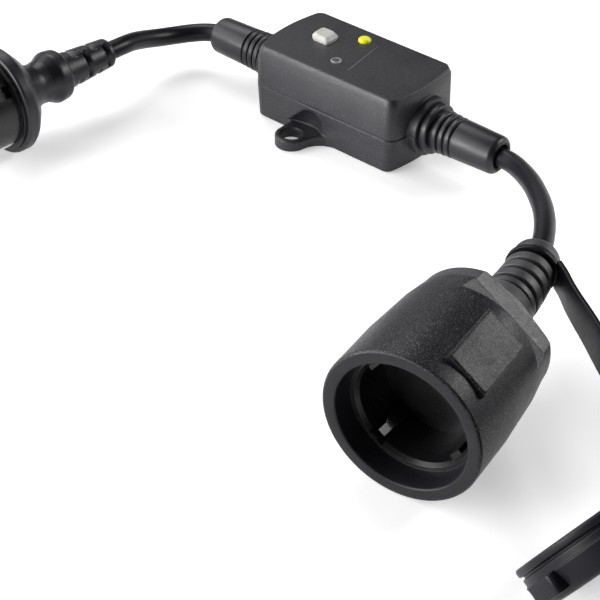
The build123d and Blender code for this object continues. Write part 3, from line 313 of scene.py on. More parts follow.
def finish(name, dark, light, rough, grain=0.4, depth=0.02, patch=14.0, metal=0.0, edge=0.0,
           wear=None, pits=0.0, stretch=None, specular=0.5, painted_glints=None, outside=False):
    """Moulded or drawn surface: tone patches, grain in relief, worn edges, painted glints.

    Sizes are in millimetres. dark, light, wear and painted glints are colours; rough is a range.
    outside keeps the painted glints, bright specks of painted highlight, off the coupling's inner
    side and lowers its grain there.
    """
    scuff_size, gloss_size, painted_glint_size = 2.5, 1.6, 0.36
    material = bpy.data.materials.new(name)
    material.use_nodes = True
    tree, shader, where = opened(material)
    fine_place = where
    if stretch:
        fine_place = add(tree, "ShaderNodeMapping", Vector=where, Scale=stretch).outputs[0]
    wide = blotches(tree, where, patch)
    fine = blotches(tree, fine_place, grain, detail=2.0)
    colour = colours(tree, spread(tree, wide, 0, 1), dark, light)
    speckle = spread(tree, fine, 0.0, 0.5, start=0.45, end=0.75)
    colour = colours(tree, speckle, colour, light)
    # Painted highlights: bright specks in the base colour stand in for glints of light on the
    # grain
    if painted_glints:
        points = spread(tree, blotches(tree, where, painted_glint_size, detail=0.0), 0.0, 1.0,
                        start=0.61, end=0.74)
        if outside:
            points = number_math(tree, "MULTIPLY", points, facing_out(tree, where))
        colour = colours(tree, points, colour, painted_glints)
    if edge:
        normal, corner = edges(tree, edge)
        scuffs = spread(tree, blotches(tree, where, scuff_size), 0, 0.8)
        worn = number_math(tree, "MULTIPLY", corner, scuffs)
        colour = colours(tree, worn, colour, wear or light)
    tree.links.new(colour, shader.inputs["Base Color"])
    mixed = number_math(tree, "MULTIPLY", wide, blotches(tree, where, gloss_size))
    tree.links.new(spread(tree, mixed, *rough, start=0.12, end=0.42),
                   shader.inputs["Roughness"])
    strength = 1.0
    if outside:
        strength = spread(tree, facing_out(tree, where), 0.3, 1.0, start=0.0, end=1.0)
    bump = add(tree, "ShaderNodeBump", Height=fine, Distance=depth * MM, Strength=strength)
    if edge:
        tree.links.new(normal, bump.inputs["Normal"])
    if pits:
        cells = add(tree, "ShaderNodeTexVoronoi", Vector=where, Scale=1 / (pits * MM))
        bump = add(tree, "ShaderNodeBump", Height=cells.outputs["Distance"],
                   Distance=depth * MM, Strength=0.6, Normal=bump.outputs[0])
    tree.links.new(bump.outputs[0], shader.inputs["Normal"])
    shader.inputs["Metallic"].default_value = metal
    shader.inputs["Specular IOR Level"].default_value = specular
    material.diffuse_color = (*light, 1)
    return material


def wound(name, dark, light, pitch_mm, axis):
    """Enamelled wire laid in turns across axis."""
    ridge_height = 0.15
    material = finish(name, dark, light, (0.22, 0.36), grain=0.6, depth=0.01, patch=6.0,
                      metal=0.9)
    tree, shader, where = opened(material)
    turns = add(tree, "ShaderNodeTexWave", Vector=where, Scale=0.5 / (pitch_mm * MM),
                Distortion=0.4)
    turns.bands_direction = axis
    ridge = add(tree, "ShaderNodeBump", Height=turns.outputs["Fac"], Distance=ridge_height * MM,
                Strength=1.0)
    tree.links.new(ridge.outputs[0], shader.inputs["Normal"])
    return material


def printed_board(name):
    """Green laminate with paler tracks."""
    material = finish(name, (0.012, 0.075, 0.03), (0.02, 0.11, 0.045), (0.3, 0.42), grain=0.5,
                      depth=0.006)
    tree, shader, where = opened(material)
    track_pitch = 9 * MM
    tracks = add(tree, "ShaderNodeTexBrick", Vector=where, Scale=1 / track_pitch)
    tracks.inputs["Mortar Size"].default_value = 0.06
    lay_over(tree, shader, tracks.outputs["Fac"], (0.05, 0.2, 0.08))
    return material


def clear_lens(name):
    """Clear plastic that is seen through in part."""
    material = finish(name, (0.2, 0.2, 0.2), (0.32, 0.32, 0.32), (0.04, 0.12), grain=0.5,
                      depth=0.004)
    shader = material.node_tree.nodes["Principled BSDF"]
    shader.inputs["Transmission Weight"].default_value = 0.55
    shader.inputs["Coat Weight"].default_value = 0.6
    return material


def metal_with_painted_shade(name):
    """Spring metal, bright at the tip near the mouth, with shade painted dark deeper in the
    socket.
    """
    material = finish(name, (0.7, 0.69, 0.66), (0.88, 0.87, 0.83), (0.28, 0.42), grain=0.3,
                      depth=0.006, patch=4.0, metal=0.75, stretch=(1, 1, 6))
    tree, shader, where = opened(material)
    bright_to, shade_from = 13.0 * MM, 15.5 * MM
    offset = vector_math(tree, "SUBTRACT", where, COUPLING_MOUTH)
    depth = vector_math(tree, "DOT_PRODUCT", offset, COUPLING_AXIS)
    painted_shade = spread(tree, depth, 0.0, 1.0, bright_to, shade_from)
    # Painted shade: the metal turns near black deeper in the socket, where little light reaches it
    lay_over(tree, shader, painted_shade, (0.06, 0.055, 0.05))
    return material


BLACK = (0.006, 0.0059, 0.0092)
BLUE_BLACK = (0.015, 0.0148, 0.0205)
WORN_BLACK = (0.03, 0.03, 0.032)
WORN_GREY = (0.07, 0.07, 0.073)

# Finishes by material, with sizes in millimetres
FINISHES = {
    "case_plastic": dict(dark=BLACK, light=BLUE_BLACK, rough=(0.4, 0.53), grain=0.5,
                         depth=0.035, edge=1.1, wear=(0.017, 0.017, 0.02), pits=0.6,
                         painted_glints=(0.045, 0.045, 0.05)),
    "sleeve_rubber": dict(dark=BLACK, light=BLUE_BLACK, rough=(0.36, 0.5), grain=0.6,
                          depth=0.015, edge=0.2, wear=WORN_BLACK, specular=0.45),
    # boot_rubber: black rubber painted lighter than the sleeves, standing in for the light on the
    # boot's ribs
    "boot_rubber": dict(dark=(0.016, 0.016, 0.02), light=(0.042, 0.042, 0.046),
                        rough=(0.44, 0.58), grain=0.5, depth=0.02, edge=0.2, wear=WORN_GREY,
                        specular=0.75),
    "cable_jacket": dict(dark=BLACK, light=(0.008, 0.0078, 0.0115), rough=(0.34, 0.46),
                         grain=1.2, depth=0.01, patch=24.0, specular=0.25),
    "socket_plastic": dict(dark=BLACK, light=(0.011, 0.0109, 0.0142), rough=(0.38, 0.5),
                           grain=0.5, depth=0.055, edge=0.35, wear=(0.045, 0.045, 0.048),
                           pits=0.6, specular=0.26, painted_glints=(0.1, 0.1, 0.108), outside=True),
    # cover_plastic: the coupling's black plastic painted lighter, standing in for the light its
    # flats catch
    "cover_plastic": dict(dark=(0.018, 0.018, 0.021), light=(0.034, 0.034, 0.038),
                          rough=(0.42, 0.55), grain=0.5, depth=0.055, edge=0.35,
                          wear=WORN_GREY, pits=0.6, specular=0.55, painted_glints=(0.11, 0.11, 0.115)),
    "insert_plastic": dict(dark=(0.005, 0.005, 0.006), light=(0.009, 0.009, 0.01),
                           rough=(0.26, 0.38), grain=0.5, depth=0.004, edge=0.15,
                           wear=WORN_BLACK, specular=0.4),
    "cap_rubber": dict(dark=(0.004, 0.004, 0.0065), light=(0.007, 0.007, 0.0105),
                       rough=(0.36, 0.5), grain=0.5, depth=0.012, edge=0.25, wear=WORN_BLACK,
                       specular=0.2),
    "gasket_rubber": dict(dark=BLACK, light=(0.02, 0.02, 0.02), rough=(0.5, 0.7), grain=0.4,
                          depth=0.01),
    "button_white": dict(dark=(0.44, 0.435, 0.4), light=(0.53, 0.525, 0.49),
                         rough=(0.38, 0.5), grain=0.5, depth=0.008, patch=4.0, edge=0.3,
                         wear=(0.6, 0.6, 0.56)),
    "button_yellow": dict(dark=(0.78, 0.77, 0.008), light=(0.86, 0.84, 0.012),
                          rough=(0.32, 0.44), grain=0.5, depth=0.006, patch=3.0, edge=0.2,
                          wear=(0.88, 0.86, 0.03)),
    "bezel_grey": dict(dark=(0.24, 0.24, 0.24), light=(0.34, 0.34, 0.34), rough=(0.2, 0.32),
                       grain=0.4, depth=0.006, patch=3.0),
    "contact_metal": dict(dark=(0.55, 0.53, 0.48), light=(0.72, 0.7, 0.64), rough=(0.2, 0.36),
                          grain=0.25, depth=0.006, patch=3.0, metal=1.0, stretch=(1, 1, 8)),
    "plated_metal": dict(dark=(0.68, 0.67, 0.64), light=(0.85, 0.84, 0.8), rough=(0.28, 0.42),
                         grain=0.3, depth=0.006, patch=4.0, metal=0.8, stretch=(1, 1, 6)),
    "screw_steel": dict(dark=(0.3, 0.3, 0.3), light=(0.5, 0.5, 0.49), rough=(0.25, 0.45),
                        grain=0.4, depth=0.01, patch=2.0, metal=1.0, edge=0.15),
    "mechanism_plastic": dict(dark=(0.42, 0.42, 0.4), light=(0.5, 0.5, 0.48),
                              rough=(0.35, 0.5), grain=0.5, depth=0.01, patch=5.0, edge=0.2),
    "component": dict(dark=(0.05, 0.09, 0.14), light=(0.08, 0.13, 0.19), rough=(0.35, 0.5),
                      grain=0.5, depth=0.01, patch=3.0, edge=0.2),
    "ferrite": dict(dark=(0.03, 0.03, 0.032), light=(0.06, 0.06, 0.062), rough=(0.45, 0.65),
                    grain=0.3, depth=0.02, patch=3.0),
    "core_insulation": dict(dark=(0.1, 0.05, 0.03), light=(0.14, 0.07, 0.045),
                            rough=(0.35, 0.5), grain=0.8, depth=0.006, patch=5.0),
    "print": dict(dark=(0.09, 0.09, 0.092), light=(0.15, 0.15, 0.15), rough=(0.5, 0.65),
                  grain=0.3, depth=0.004, patch=1.5),
}

# Nodes whose material is not the one of their slot
SPECIAL_FINISH = dict.fromkeys(("socket_insert", "contact_carrier", "plug_insert"),
                               "insert_plastic")


def make_materials():
    """Every material by its name."""
    made = {name: finish(name, **look) for name, look in FINISHES.items()}
    made["clip_metal"] = metal_with_painted_shade("clip_metal")
    made["lens_clear"] = clear_lens("lens_clear")
    made["board"] = printed_board("board")
    made["copper"] = wound("copper", dark=(0.42, 0.16, 0.06), light=(0.6, 0.26, 0.1),
                           pitch_mm=0.5, axis="X")
    return made


def cad_smoothing():
    """Group that welds a mesh and shades it smooth except at its steep edges."""
    weld_distance, steep_angle = 1e-6, radians(32)
    group = bpy.data.node_groups.new("cad_smoothing", "GeometryNodeTree")
    for way in ("INPUT", "OUTPUT"):
        group.interface.new_socket("Geometry", in_out=way, socket_type="NodeSocketGeometry")
    source = group.nodes.new("NodeGroupInput")
    drain = group.nodes.new("NodeGroupOutput")
    weld = group.nodes.new("GeometryNodeMergeByDistance")
    weld.inputs["Distance"].default_value = weld_distance
    smooth = group.nodes.new("GeometryNodeSetShadeSmooth")
    sharp = group.nodes.new("GeometryNodeSetShadeSmooth")
    sharp.domain = "EDGE"
    angle = group.nodes.new("GeometryNodeInputMeshEdgeAngle")
    steep = group.nodes.new("FunctionNodeCompare")
    steep.operation = "GREATER_THAN"
    steep.inputs[1].default_value = steep_angle
    group.links.new(source.outputs[0], weld.inputs["Geometry"])
    group.links.new(weld.outputs[0], smooth.inputs["Geometry"])
    group.links.new(smooth.outputs[0], sharp.inputs["Geometry"])
    group.links.new(angle.outputs["Unsigned Angle"], steep.inputs[0])
    group.links.new(steep.outputs[0], sharp.inputs["Selection"])
    sharp.inputs["Shade Smooth"].default_value = False
    group.links.new(sharp.outputs[0], drain.inputs[0])


def add_smoothing(made):
    """Let the group above shade this object."""
    modifier = made.modifiers.new("smoothing", "NODES")
    modifier.node_group = bpy.data.node_groups["cad_smoothing"]


def dress_cad(materials):
    """Give every CAD node its material and smooth shading."""
    for row in frame["record"]["subparts"]:
        node = frame["nodes"][row["node"]]
        node.data.materials.clear()
        slot = row["material_slot"]
        node.data.materials.append(materials[SPECIAL_FINISH.get(row["node"], slot)])
        add_smoothing(node)


# Mesh making (millimetres in, metres out)
def piece(name, points, faces, material):
    """Smooth-shaded object from points in the frame that all pieces share."""
    mesh = bpy.data.meshes.new(name)
    mesh.from_pydata([Vector(point) * MM for point in points], [], faces)
    tidy = bmesh.new()
    tidy.from_mesh(mesh)
    bmesh.ops.remove_doubles(tidy, verts=tidy.verts, dist=1e-7)
    bmesh.ops.recalc_face_normals(tidy, faces=tidy.faces)
    tidy.to_mesh(mesh)
    tidy.free()
    mesh.materials.append(material)
    mesh.polygons.foreach_set("use_smooth", [True] * len(mesh.polygons))
    made = put_in_scene(name, mesh)
    return made


def rounded(corners, step=12.0, close=True):
    """Points of a path whose corners (x, y, rounding) are drawn as arcs."""
    almost_straight = 1e-3
    line = []
    count = len(corners)
    for index, corner in enumerate(corners):
        here = Vector(corner[:2])
        radius = corner[2] if len(corner) > 2 else 0
        if not close and index in (0, count - 1):
            radius = 0
        before = (Vector(corners[index - 1][:2]) - here).normalized()
        after = (Vector(corners[(index + 1) % count][:2]) - here).normalized()
        opening = before.angle(after)
        if radius <= 0 or pi - opening < almost_straight:
            line.append(here)
            continue
        reach = radius / tan(opening / 2)
        centre = here + (before + after).normalized() * (radius / sin(opening / 2))
        first = here + before * reach - centre
        last = here + after * reach - centre
        start = atan2(first.y, first.x)
        sweep = (atan2(last.y, last.x) - start + pi) % (2 * pi) - pi
        parts = max(2, ceil(abs(sweep) / radians(step)))
        for part in range(parts + 1):
            angle = start + sweep * part / parts
            line.append(centre + Vector((cos(angle), sin(angle))) * radius)
    return line


def divided(line, longest):
    """The same closed path with no run longer than longest."""
    full = []
    for here, after in zip(line, line[1:] + line[:1]):
        parts = max(1, ceil((after - here).length / longest))
        full += [here.lerp(after, part / parts) for part in range(parts)]
    return full


def lathe(name, corners, place, material, steps=96, longest=None, shape=None):
    """Turned piece from corners (radius, height, rounding) round Z.

    place is a matrix, or a function from height to a matrix. shape, if given, says how far
    the skin reaches for a radius, a height and an angle.
    """
    on_axis = 1e-6
    line = rounded(corners)
    if longest:
        line = divided(line, longest)
    points = []
    rows = []
    for radius, height in line:
        matrix = place(height) if callable(place) else place
        level = 0 if callable(place) else height
        if radius < on_axis:
            rows.append([len(points)])
            points.append(matrix @ Vector((0, 0, level)))
            continue
        row = []
        for step in range(steps):
            angle = 2 * pi * step / steps
            reach = shape(radius, height, angle) if shape else radius
            row.append(len(points))
            points.append(matrix @ Vector((reach * cos(angle), reach * sin(angle), level)))
        rows.append(row)
    faces = []
    for here, after in zip(rows, rows[1:] + rows[:1]):
        for step in range(steps):
            beyond = (step + 1) % steps
            if len(here) == 1 and len(after) == 1:
                break
            if len(here) == 1:
                faces.append((here[0], after[step], after[beyond]))
            elif len(after) == 1:
                faces.append((here[step], after[0], here[beyond]))
            else:
                faces.append((here[step], after[step], after[beyond], here[beyond]))
    return piece(name, points, faces, material)


def rounded_block(size, radius):
    """Closed outline of a rectangle about zero with rounded corners."""
    x, y = size[0] / 2, size[1] / 2
    return rounded([(-x, -y, radius), (x, -y, radius), (x, y, radius), (-x, y, radius)], 22.5)


def loft(name, sections, material):
    """Closed skin through sections, each a ring of points, with flat ends."""
    points = [point for section in sections for point in section]
    count = len(sections[0])
    faces = [tuple(reversed(range(count)))]
    for index in range(len(sections) - 1):
        low = index * count
        for step in range(count):
            beyond = (step + 1) % count
            faces.append((low + step, low + beyond, low + count + beyond, low + count + step))
    faces.append(tuple(range(len(points) - count, len(points))))
    return piece(name, points, faces, material)


def merge(body, *others, how="UNION"):
    """Merge other closed pieces into body, or cut them away from it."""
    for other in others:
        modifier = body.modifiers.new("join", "BOOLEAN")
        modifier.operation = how
        modifier.solver = "EXACT"
        modifier.object = other
    bpy.context.view_layer.update()
    graph = bpy.context.evaluated_depsgraph_get()
    mesh = bpy.data.meshes.new_from_object(body.evaluated_get(graph))
    mesh.name = body.name
    body.modifiers.clear()
    body.data = mesh
    for other in others:
        bpy.data.objects.remove(other)


# Cords
def cord_curve(name, points, material):
    """Cable on one smooth spline whose control points are the route's."""
    curve = bpy.data.curves.new(name, "CURVE")
    curve.dimensions = "3D"
    spline = curve.splines.new("NURBS")
    spline.points.add(len(points) - 1)
    for control, point in zip(spline.points, points):
        control.co = (*(Vector(point) * MM), 1)
    spline.order_u = 3
    spline.use_endpoint_u = True
    spline.resolution_u = 16
    curve.bevel_depth = CABLE_R * MM
    curve.bevel_resolution = 9
    curve.use_fill_caps = True
    curve.materials.append(material)
    made = put_in_scene(name, curve)
    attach(made, "base")
    return made


def make_cords(materials):
    """Both cables, which stand for the two cords of the CAD."""
    supply = cord_curve("supply_cable", SUPPLY_ROUTE, materials["cable_jacket"])
    outlet = cord_curve("outlet_cable", OUTLET_ROUTE, materials["cable_jacket"])
    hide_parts("supply_cord")
    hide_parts("outlet_cord")
    return supply, outlet


# Glands
def gland_profile():
    """Ribbed sleeve outside the wall, its neck and its inner flange, as (radius, x, rounding)."""
    flange_r, flange_start, wall_start, collar_x = 9.6, 33.6, 35.2, 41.7
    neck_r, nose_r, end_r = 7.4, 8.5, 5.2
    line = [(BORE_R, flange_start), (flange_r, flange_start, 0.3), (flange_r, wall_start, 0.2),
            (neck_r, wall_start), (neck_r, collar_x - 0.2)]
    ribs = ((10.75, 3.5, 7.75, 1.6), (9.15, 2.3, 7.7, 0.7), (8.95, 2.3, 7.7, 0.7),
            (8.75, 2.3, 7.7, 0.7))
    x = collar_x
    for radius, length, core, gap in ribs:
        line += [(core, x, 0.12), (radius - 0.25, x, 0.35), (radius, x + length, 0.75),
                 (core, x + length, 0.2)]
        x += length + gap
    line += [(7.7, x, 0.12), (nose_r, x, 0.5), (8.0, GLAND_END_X, 2.6),
             (end_r, GLAND_END_X, 0.7), (end_r, TAIL_X, 0.3), (BORE_R, TAIL_X)]
    return line


def make_glands(materials):
    """A sleeve at each end of the box."""
    for name, sign in (("in", -1), ("out", 1)):
        place = Matrix.Translation((0, 0, SEAM_Z)) @ Matrix.Rotation(sign * pi / 2, 4, "Y")
        sleeve = lathe("gland_sleeve_" + name, gland_profile(), place,
                       materials["sleeve_rubber"])
        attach(sleeve, "base")
        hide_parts("gland_" + name)


# Plug body
def relief_dent(radius, height, angle):
    """Reach of the plug's skin, sunk in the slots of its bend relief."""
    first, pitch, slot, floor, count = 3.6, 5.4, 2.1, 4.9, 4
    relief_end, soft = 26, 0.25
    middle_of_first, quarter, half_arc = 73, 90, radians(50)
    if radius < floor + 0.1 or height > relief_end:
        return radius
    for row in range(count):
        start = first + row * pitch
        along = min(height - start, start + slot - height)
        middle = radians(middle_of_first + quarter * row)
        off = abs((angle - middle + pi / 2) % pi - pi / 2)
        inside = min(along, (half_arc - off) * radius)
        if inside > -soft:
            share = min(1.0, (inside + soft) / (2 * soft))
            return radius + (floor - radius) * share * share * (3 - 2 * share)
    return radius


def make_plug(materials):
    """Plug's soft body: bend relief, bulge, waist, splash flange and the hollow for its insert."""
    relief_start, flange_r, flange_end = 1.0, 22.5, 60.0
    hollow_r, hollow_floor = 16.05, 52.0
    corners = [(BORE_R, relief_start, 0.2), (6.3, relief_start, 0.9), (8.0, 26.2, 0.8),
               (10.7, 26.8, 2.4), (11.2, 32.2, 3.2), (9.2, 36.2, 3.0), (8.5, 40.5, 8.0),
               (11.2, 47.0, 6.0), (16.5, 49.4, 1.6), (21.6, 54.0, 1.4), (flange_r, 55.4, 0.9),
               (flange_r, flange_end, 1.2), (hollow_r, flange_end), (hollow_r, hollow_floor),
               (BORE_R, hollow_floor)]
    body = lathe("plug_grip", corners, PLUG_PLACE, materials["sleeve_rubber"],
                 steps=160, longest=0.5, shape=relief_dent)
    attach(body, "base")
    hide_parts("plug_body")
    return body


# Coupling cover
def cut_flats(body, flat_x, low, high):
    """Cut a flat on two sides of the coupling, flat_x from its axis, from low to high."""
    far = 40
    blocks = []
    for side in (-1, 1):
        corners = [(side * flat_x, -far), (side * far, -far), (side * far, far),
                   (side * flat_x, far)]
        sections = [[COUPLING_PLACE @ Vector((*corner, level)) for corner in corners]
                    for level in (low, high)]
        blocks.append(loft("cutter", sections, body.data.materials[0]))
    merge(body, *blocks, how="DIFFERENCE")
    add_smoothing(body)


def make_cover(materials):
    """Rear cover: a straight rim with two flats, and a lower shoulder that runs into the neck."""
    before, behind = 45, 75
    rim_start, rim_end, hollow_r = 50.0, 55.9, 17.7
    neck_start, neck_end, boot_r = 55.6, 72.3, 7.45
    pocket_start, pocket_end, pocket_r = 64.4, 67.0, 9.8
    rim = [(hollow_r, rim_start), (25.3, rim_start, 0.4), (25.05, rim_end, 0.8),
           (hollow_r, rim_end)]
    neck = [(15.5, neck_start), (23.6, neck_start), (23.4, 58.0, 1.0), (18.6, 59.4, 2.0),
            (13.8, 63.4, 4.0), (11.0, neck_end, 0.7), (boot_r, neck_end),
            (boot_r, pocket_end), (pocket_r, pocket_end), (pocket_r, pocket_start),
            (14.0, 58.0)]
    pieces = []
    for name, corners, flat_x in (("cover_rim", rim, 19.5), ("cover_neck", neck, 17.7)):
        part = lathe(name, corners, COUPLING_PLACE, materials["cover_plastic"],
                     steps=144)
        cut_flats(part, flat_x, before, behind)
        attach(part, "base")
        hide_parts("coupling_cover")
        pieces.append(part)
    return pieces


# Coupling boot
def boot_profile():
    """Inner flange, four ribs on a core, a neck for the tether's ring and the rounded end."""
    core, neck, flange_r, end_r = 6.9, 7.4, 9.7, 8.9
    flange_start, flange_end, seat_start, seat_end = -12.3, -10.1, 18.0, 22.4
    ribs = ((-3.0, 2.8, 10.1), (1.6, 4.0, 9.9), (7.5, 3.9, 9.6), (13.3, 4.0, 9.3))
    line = [(BORE_R, flange_start), (flange_r, flange_start, 0.3), (flange_r, flange_end, 0.3),
            (neck, flange_end, 0.2)]
    for start, length, radius in ribs:
        line += [(core, start, 0.2), (radius, start, 0.4), (radius - 0.2, start + length, 0.4),
                 (core, start + length, 0.2)]
    line += [(neck, seat_start, 0.1), (neck, seat_end, 0.2), (end_r, seat_end, 0.5),
             (end_r - 0.5, BOOT_LENGTH, 2.2), (BORE_R, BOOT_LENGTH, 0.2)]
    return line


def boot_place(height):
    """Place at this height on the boot, which is straight below zero and curved above."""
    if height < 0:
        return along_boot(0) @ Matrix.Translation((0, 0, height))
    return along_boot(height)


def make_boot(materials):
    """Ribbed bend relief behind the cover."""
    boot = lathe("bend_relief", boot_profile(), boot_place, materials["boot_rubber"],
                 steps=112, longest=1.0)
    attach(boot, "base")
    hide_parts("coupling_boot")
    return boot


# Earth contacts
def make_clips(materials):
    """Strap behind the socket's floor and two sprung arms with narrow tips."""
    tip_width, strap_width, thick = 2.8, 6.0, 0.8
    taper_start, taper_length = 15, 5
    arm_x, floor_z = 19.6, 28.5
    half = rounded([(18.9, 10.2), (16.8, 12.9, 1.2), (arm_x, 19.6, 3.0), (arm_x, floor_z, 0.8),
                    (0, floor_z)], close=False)
    line = half + [Vector((-spot.x, spot.y)) for spot in reversed(half[:-1])]
    sections = []
    for index, spot in enumerate(line):
        way = (line[min(index + 1, len(line) - 1)] - line[max(index - 1, 0)]).normalized()
        share = min(max((spot.y - taper_start) / taper_length, 0), 1)
        width = tip_width + (strap_width - tip_width) * share
        sections.append([COUPLING_PLACE @ Vector((spot.x - way.y * mark.y, mark.x,
                                                  spot.y + way.x * mark.y))
                         for mark in rounded_block((width, thick), 0.2)])
    clips = loft("earth_springs", sections, materials["clip_metal"])
    add_smoothing(clips)
    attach(clips, "base")
    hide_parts("earth_clips")
    return clips


# Tether: ring, strap and cap
def ring_edge():
    """Point of the tether's ring that the strap leaves from."""
    return (along_boot(TETHER_START) @ Matrix.Translation((TETHER_RING_R, 0, 0))).translation


STRAP_HINGE = ring_edge() + STRAP_WAY * STRAP_REACH
CAP_HINGE = (CAP_PLACE @ Matrix.Translation((CAP_RIM_R + CAP_REACH, 0,
                                              CAP_RIM_T / 2))).translation


def band_section(point, heading, lean):
    """Ring of points round the strap's rounded section."""
    up = Vector((0, 0, 1))
    level = up.cross(heading).normalized()
    across = (up * cos(lean) + level * sin(lean)).normalized()
    beside = Vector(heading).normalized().cross(across)
    return [point + across * spot.x + beside * spot.y
            for spot in rounded_block((STRAP_HEIGHT, STRAP_T), STRAP_ROUNDING)]


def smooth_path(stops, first_way, last_way):
    """Clamped cubic spline through stops: 0 to 1 gives a point and a direction."""
    stops = np.array([list(stop) for stop in stops])
    gaps = np.linalg.norm(np.diff(stops, axis=0), axis=1)
    total = gaps.sum()
    shares = np.concatenate([[0], np.cumsum(gaps)]) / total
    spans = np.diff(shares)
    count = len(stops)
    matrix = np.zeros((count, count))
    target = np.zeros((count, 3))
    matrix[0, 0] = 1
    matrix[-1, -1] = 1
    target[0] = np.array(first_way) * total
    target[-1] = np.array(last_way) * total
    for row in range(1, count - 1):
        before, after = spans[row - 1], spans[row]
        matrix[row, row - 1] = 1 / before
        matrix[row, row] = 2 / before + 2 / after
        matrix[row, row + 1] = 1 / after
        target[row] = 3 * ((stops[row] - stops[row - 1]) / before ** 2
                           + (stops[row + 1] - stops[row]) / after ** 2)
    slopes = np.linalg.solve(matrix, target)

    def at(share):
        """Point and direction at this share of the path."""
        index = min(int(np.searchsorted(shares, share, side="right")) - 1, count - 2)
        span = spans[index]
        part = (share - shares[index]) / span
        start, end = stops[index], stops[index + 1]
        start_slope, end_slope = slopes[index], slopes[index + 1]
        spot = ((2 * part ** 3 - 3 * part ** 2 + 1) * start
                + (part ** 3 - 2 * part ** 2 + part) * span * start_slope
                + (3 * part ** 2 - 2 * part ** 3) * end
                + (part ** 3 - part ** 2) * span * end_slope)
        way = ((6 * part ** 2 - 6 * part) * (start - end) / span
               + (3 * part ** 2 - 4 * part + 1) * start_slope
               + (3 * part ** 2 - 2 * part) * end_slope)
        return Vector(spot), Vector(way).normalized()

    return at


def strap_path():
    """Middle line of the strap, from the ring through its points and the fold to the cap."""
    level = Vector((CAP_WAY.x, CAP_WAY.y, 0)).normalized()
    centre = CAP_HINGE - level * FOLD_R
    way_in = CAP_HINGE - Vector(STRAP_POINTS[-1])
    way_in.z = 0
    way_in.normalize()
    middle = centre + (level + Vector((-way_in.y, way_in.x, 0))).normalized() * FOLD_R
    stops = [STRAP_HINGE, *[Vector(point) for point in STRAP_POINTS], middle, CAP_HINGE]
    return smooth_path(stops, STRAP_WAY, -CAP_LEVEL)


def strap_sections(path, first, last, count):
    """Sections of the band between two shares of its length."""
    sections = []
    for step in range(count + 1):
        share = first + (last - first) * step / count
        spot, way = path(share)
        sections.append(band_section(spot, way, CAP_LEAN * share))
    return sections


def make_tether(materials):
    """Ring on the boot, and the strap in two pieces that meet in its middle."""
    rubber = materials["cap_rubber"]
    inner_r, half_width = 7.48, 1.0
    eye = lathe("tether_eye", [(inner_r, -half_width, 0.3), (TETHER_RING_R, -half_width, 0.45),
                               (TETHER_RING_R, half_width, 0.45), (inner_r, half_width, 0.3)],
                along_boot(TETHER_START), rubber, steps=112)
    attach(eye, "ring")
    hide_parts("tether_ring")

    path = strap_path()
    middle, near_bend_end, far_bend_start = 0.5, 0.07, 0.93
    root_depth, hinge_gap = 0.8, 0.5
    start = STRAP_HINGE - STRAP_WAY * (STRAP_REACH + root_depth)
    root = [band_section(start + STRAP_WAY * reach, STRAP_WAY, 0.0)
            for reach in (0, 0.6, 1.2, 1.8, 2.3)]
    near = loft("strap_near_end", root + strap_sections(path, 0.0, middle, 90), rubber)
    path(near_bend_end)[0] * MM
    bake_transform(near)

    foot = [band_section(CAP_HINGE - CAP_LEVEL * reach, -CAP_LEVEL, CAP_LEAN)
            for reach in (0.6, 1.2, 1.8, 2.5, 3.4)]
    far = loft("strap_far_end", strap_sections(path, middle, 1.0, 110) + foot, rubber)
    path(far_bend_start)[0] * MM
    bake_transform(far)
    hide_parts("tether_strap")
    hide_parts("tether_strap")


def make_cap(materials):
    """Cap with its sealing lip, its grooved rim and the finger tab."""
    rubber = materials["cap_rubber"]
    length, wall, groove, ledge = 13.8, 2.3, 0.8, 2.4
    cup_r, groove_r, ledge_r, wall_r, end_r = 28.4, 29.7, 30.6, 31.2, 29.4
    lip_inner_r, lip_outer_r, lip_edge = 21.0, 22.8, 3.5
    band = CAP_RIM_T + groove
    low = band + ledge
    floor = length - wall
    corners = [(cup_r, 0, 0.5), (CAP_RIM_R, 0, 0.9), (CAP_RIM_R, CAP_RIM_T, 0.8),
               (groove_r, CAP_RIM_T, 0.25), (groove_r, band, 0.25), (ledge_r, band, 0.5),
               (ledge_r, low, 0.25), (wall_r, low, 0.4), (end_r, length, 2.8), (0, length),
               (0, floor), (lip_inner_r, floor, 0.6), (lip_inner_r, lip_edge, 0.6),
               (lip_outer_r, lip_edge, 0.6), (lip_outer_r, floor, 0.6), (cup_r, floor, 1.2)]
    cap = lathe("rubber_cap", corners, CAP_PLACE, rubber, steps=160)

    tab_height, half_width, outer_x, inner_x = 6.2, 6.5, -33.5, -27.9
    softened = ((0.0, 0.4), (0.15, 0.15), (0.5, 0.0))
    high = low + tab_height
    outline = rounded([(outer_x, -half_width, 1.8), (inner_x, -half_width),
                       (inner_x, half_width), (outer_x, half_width, 1.8)], 15)
    levels = []
    for height, inset in ([(low + rise, inset) for rise, inset in softened]
                          + [(high - drop, inset) for drop, inset in reversed(softened)]):
        levels.append([CAP_PLACE @ Vector((spot.x + (inset if spot.x < -CAP_RIM_R else 0),
                                           spot.y * (1 - inset / half_width), height))
                       for spot in outline])
    merge(cap, loft("cap_tab", levels, rubber))
    cap.data.polygons.foreach_set("use_smooth", [True] * len(cap.data.polygons))
    add_smoothing(cap)
    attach(cap, "cap")
    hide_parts("protective_cap")


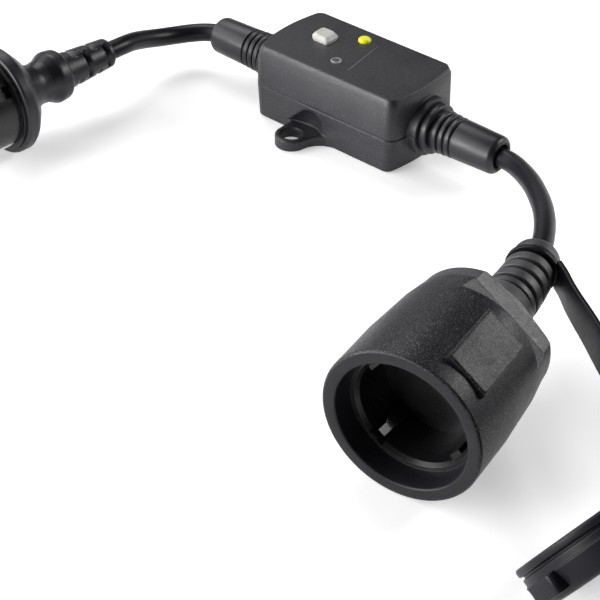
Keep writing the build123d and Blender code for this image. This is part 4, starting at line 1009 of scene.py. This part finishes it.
# Print on the box
def make_print(materials):
    """Thin line printed across the top, a touch proud of it."""
    half_width, sunk, proud = 0.16, 0.01, 0.03
    start, end = Vector((6.0, -11.8, 0)), Vector((2.6, 12.3, 0))
    way = (end - start).normalized()
    side = Vector((-way.y, way.x, 0)) * half_width
    ring = [start - side, end - side, end + side, start + side]
    sections = [[point + Vector((0, 0, level)) for point in ring]
                for level in (CASE_HEIGHT - sunk, CASE_HEIGHT + proud)]
    line = loft("printed_line", sections, materials["print"])
    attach(line, "base")


# Floor
def show_white(material, strength):
    """Lift a surface towards white for rays that show it, and leave its light as it is."""
    near, far = 0.5, 1.3
    tree, shader, where = opened(material)
    seen = ray_is(tree, "Is Camera Ray", "Is Glossy Ray", "Is Transmission Ray")
    distance = vector_math(tree, "LENGTH", where)
    level = number_math(tree, "MULTIPLY", spread(tree, distance, strength, 1.0, near, far), seen)
    shader.inputs["Emission Color"].default_value = (1, 1, 1, 1)
    tree.links.new(level, shader.inputs["Emission Strength"])


def make_floor():
    """Wide white floor just under the part."""
    half_width, below = 6.0, 0.0001
    mesh = bpy.data.meshes.new("floor")
    mesh.from_pydata([(-half_width, -half_width, 0), (half_width, -half_width, 0),
                      (half_width, half_width, 0), (-half_width, half_width, 0)],
                     [], [(0, 1, 2, 3)])
    floor = put_in_scene("floor", mesh)
    floor.location.z = cad_box[0].z - below
    white = finish("floor_white", (0.93, 0.93, 0.93), (0.95, 0.95, 0.95), (0.75, 0.85),
                   grain=3.0, depth=0.01, patch=400.0, specular=0.1)
    show_white(white, strength=0.4)
    mesh.materials.append(white)


# The scene
bpy.context.scene.view_settings.view_transform = "Standard"
make_camera()
MATERIALS = make_materials()
SUPPLY, OUTLET = make_cords(MATERIALS)
make_world()
make_lamps()
cad_smoothing()
dress_cad(MATERIALS)
make_glands(MATERIALS)
PLUG = make_plug(MATERIALS)
COVER = make_cover(MATERIALS)
BOOT = make_boot(MATERIALS)
CLIPS = make_clips(MATERIALS)
make_tether(MATERIALS)
make_cap(MATERIALS)
make_print(MATERIALS)
make_floor()
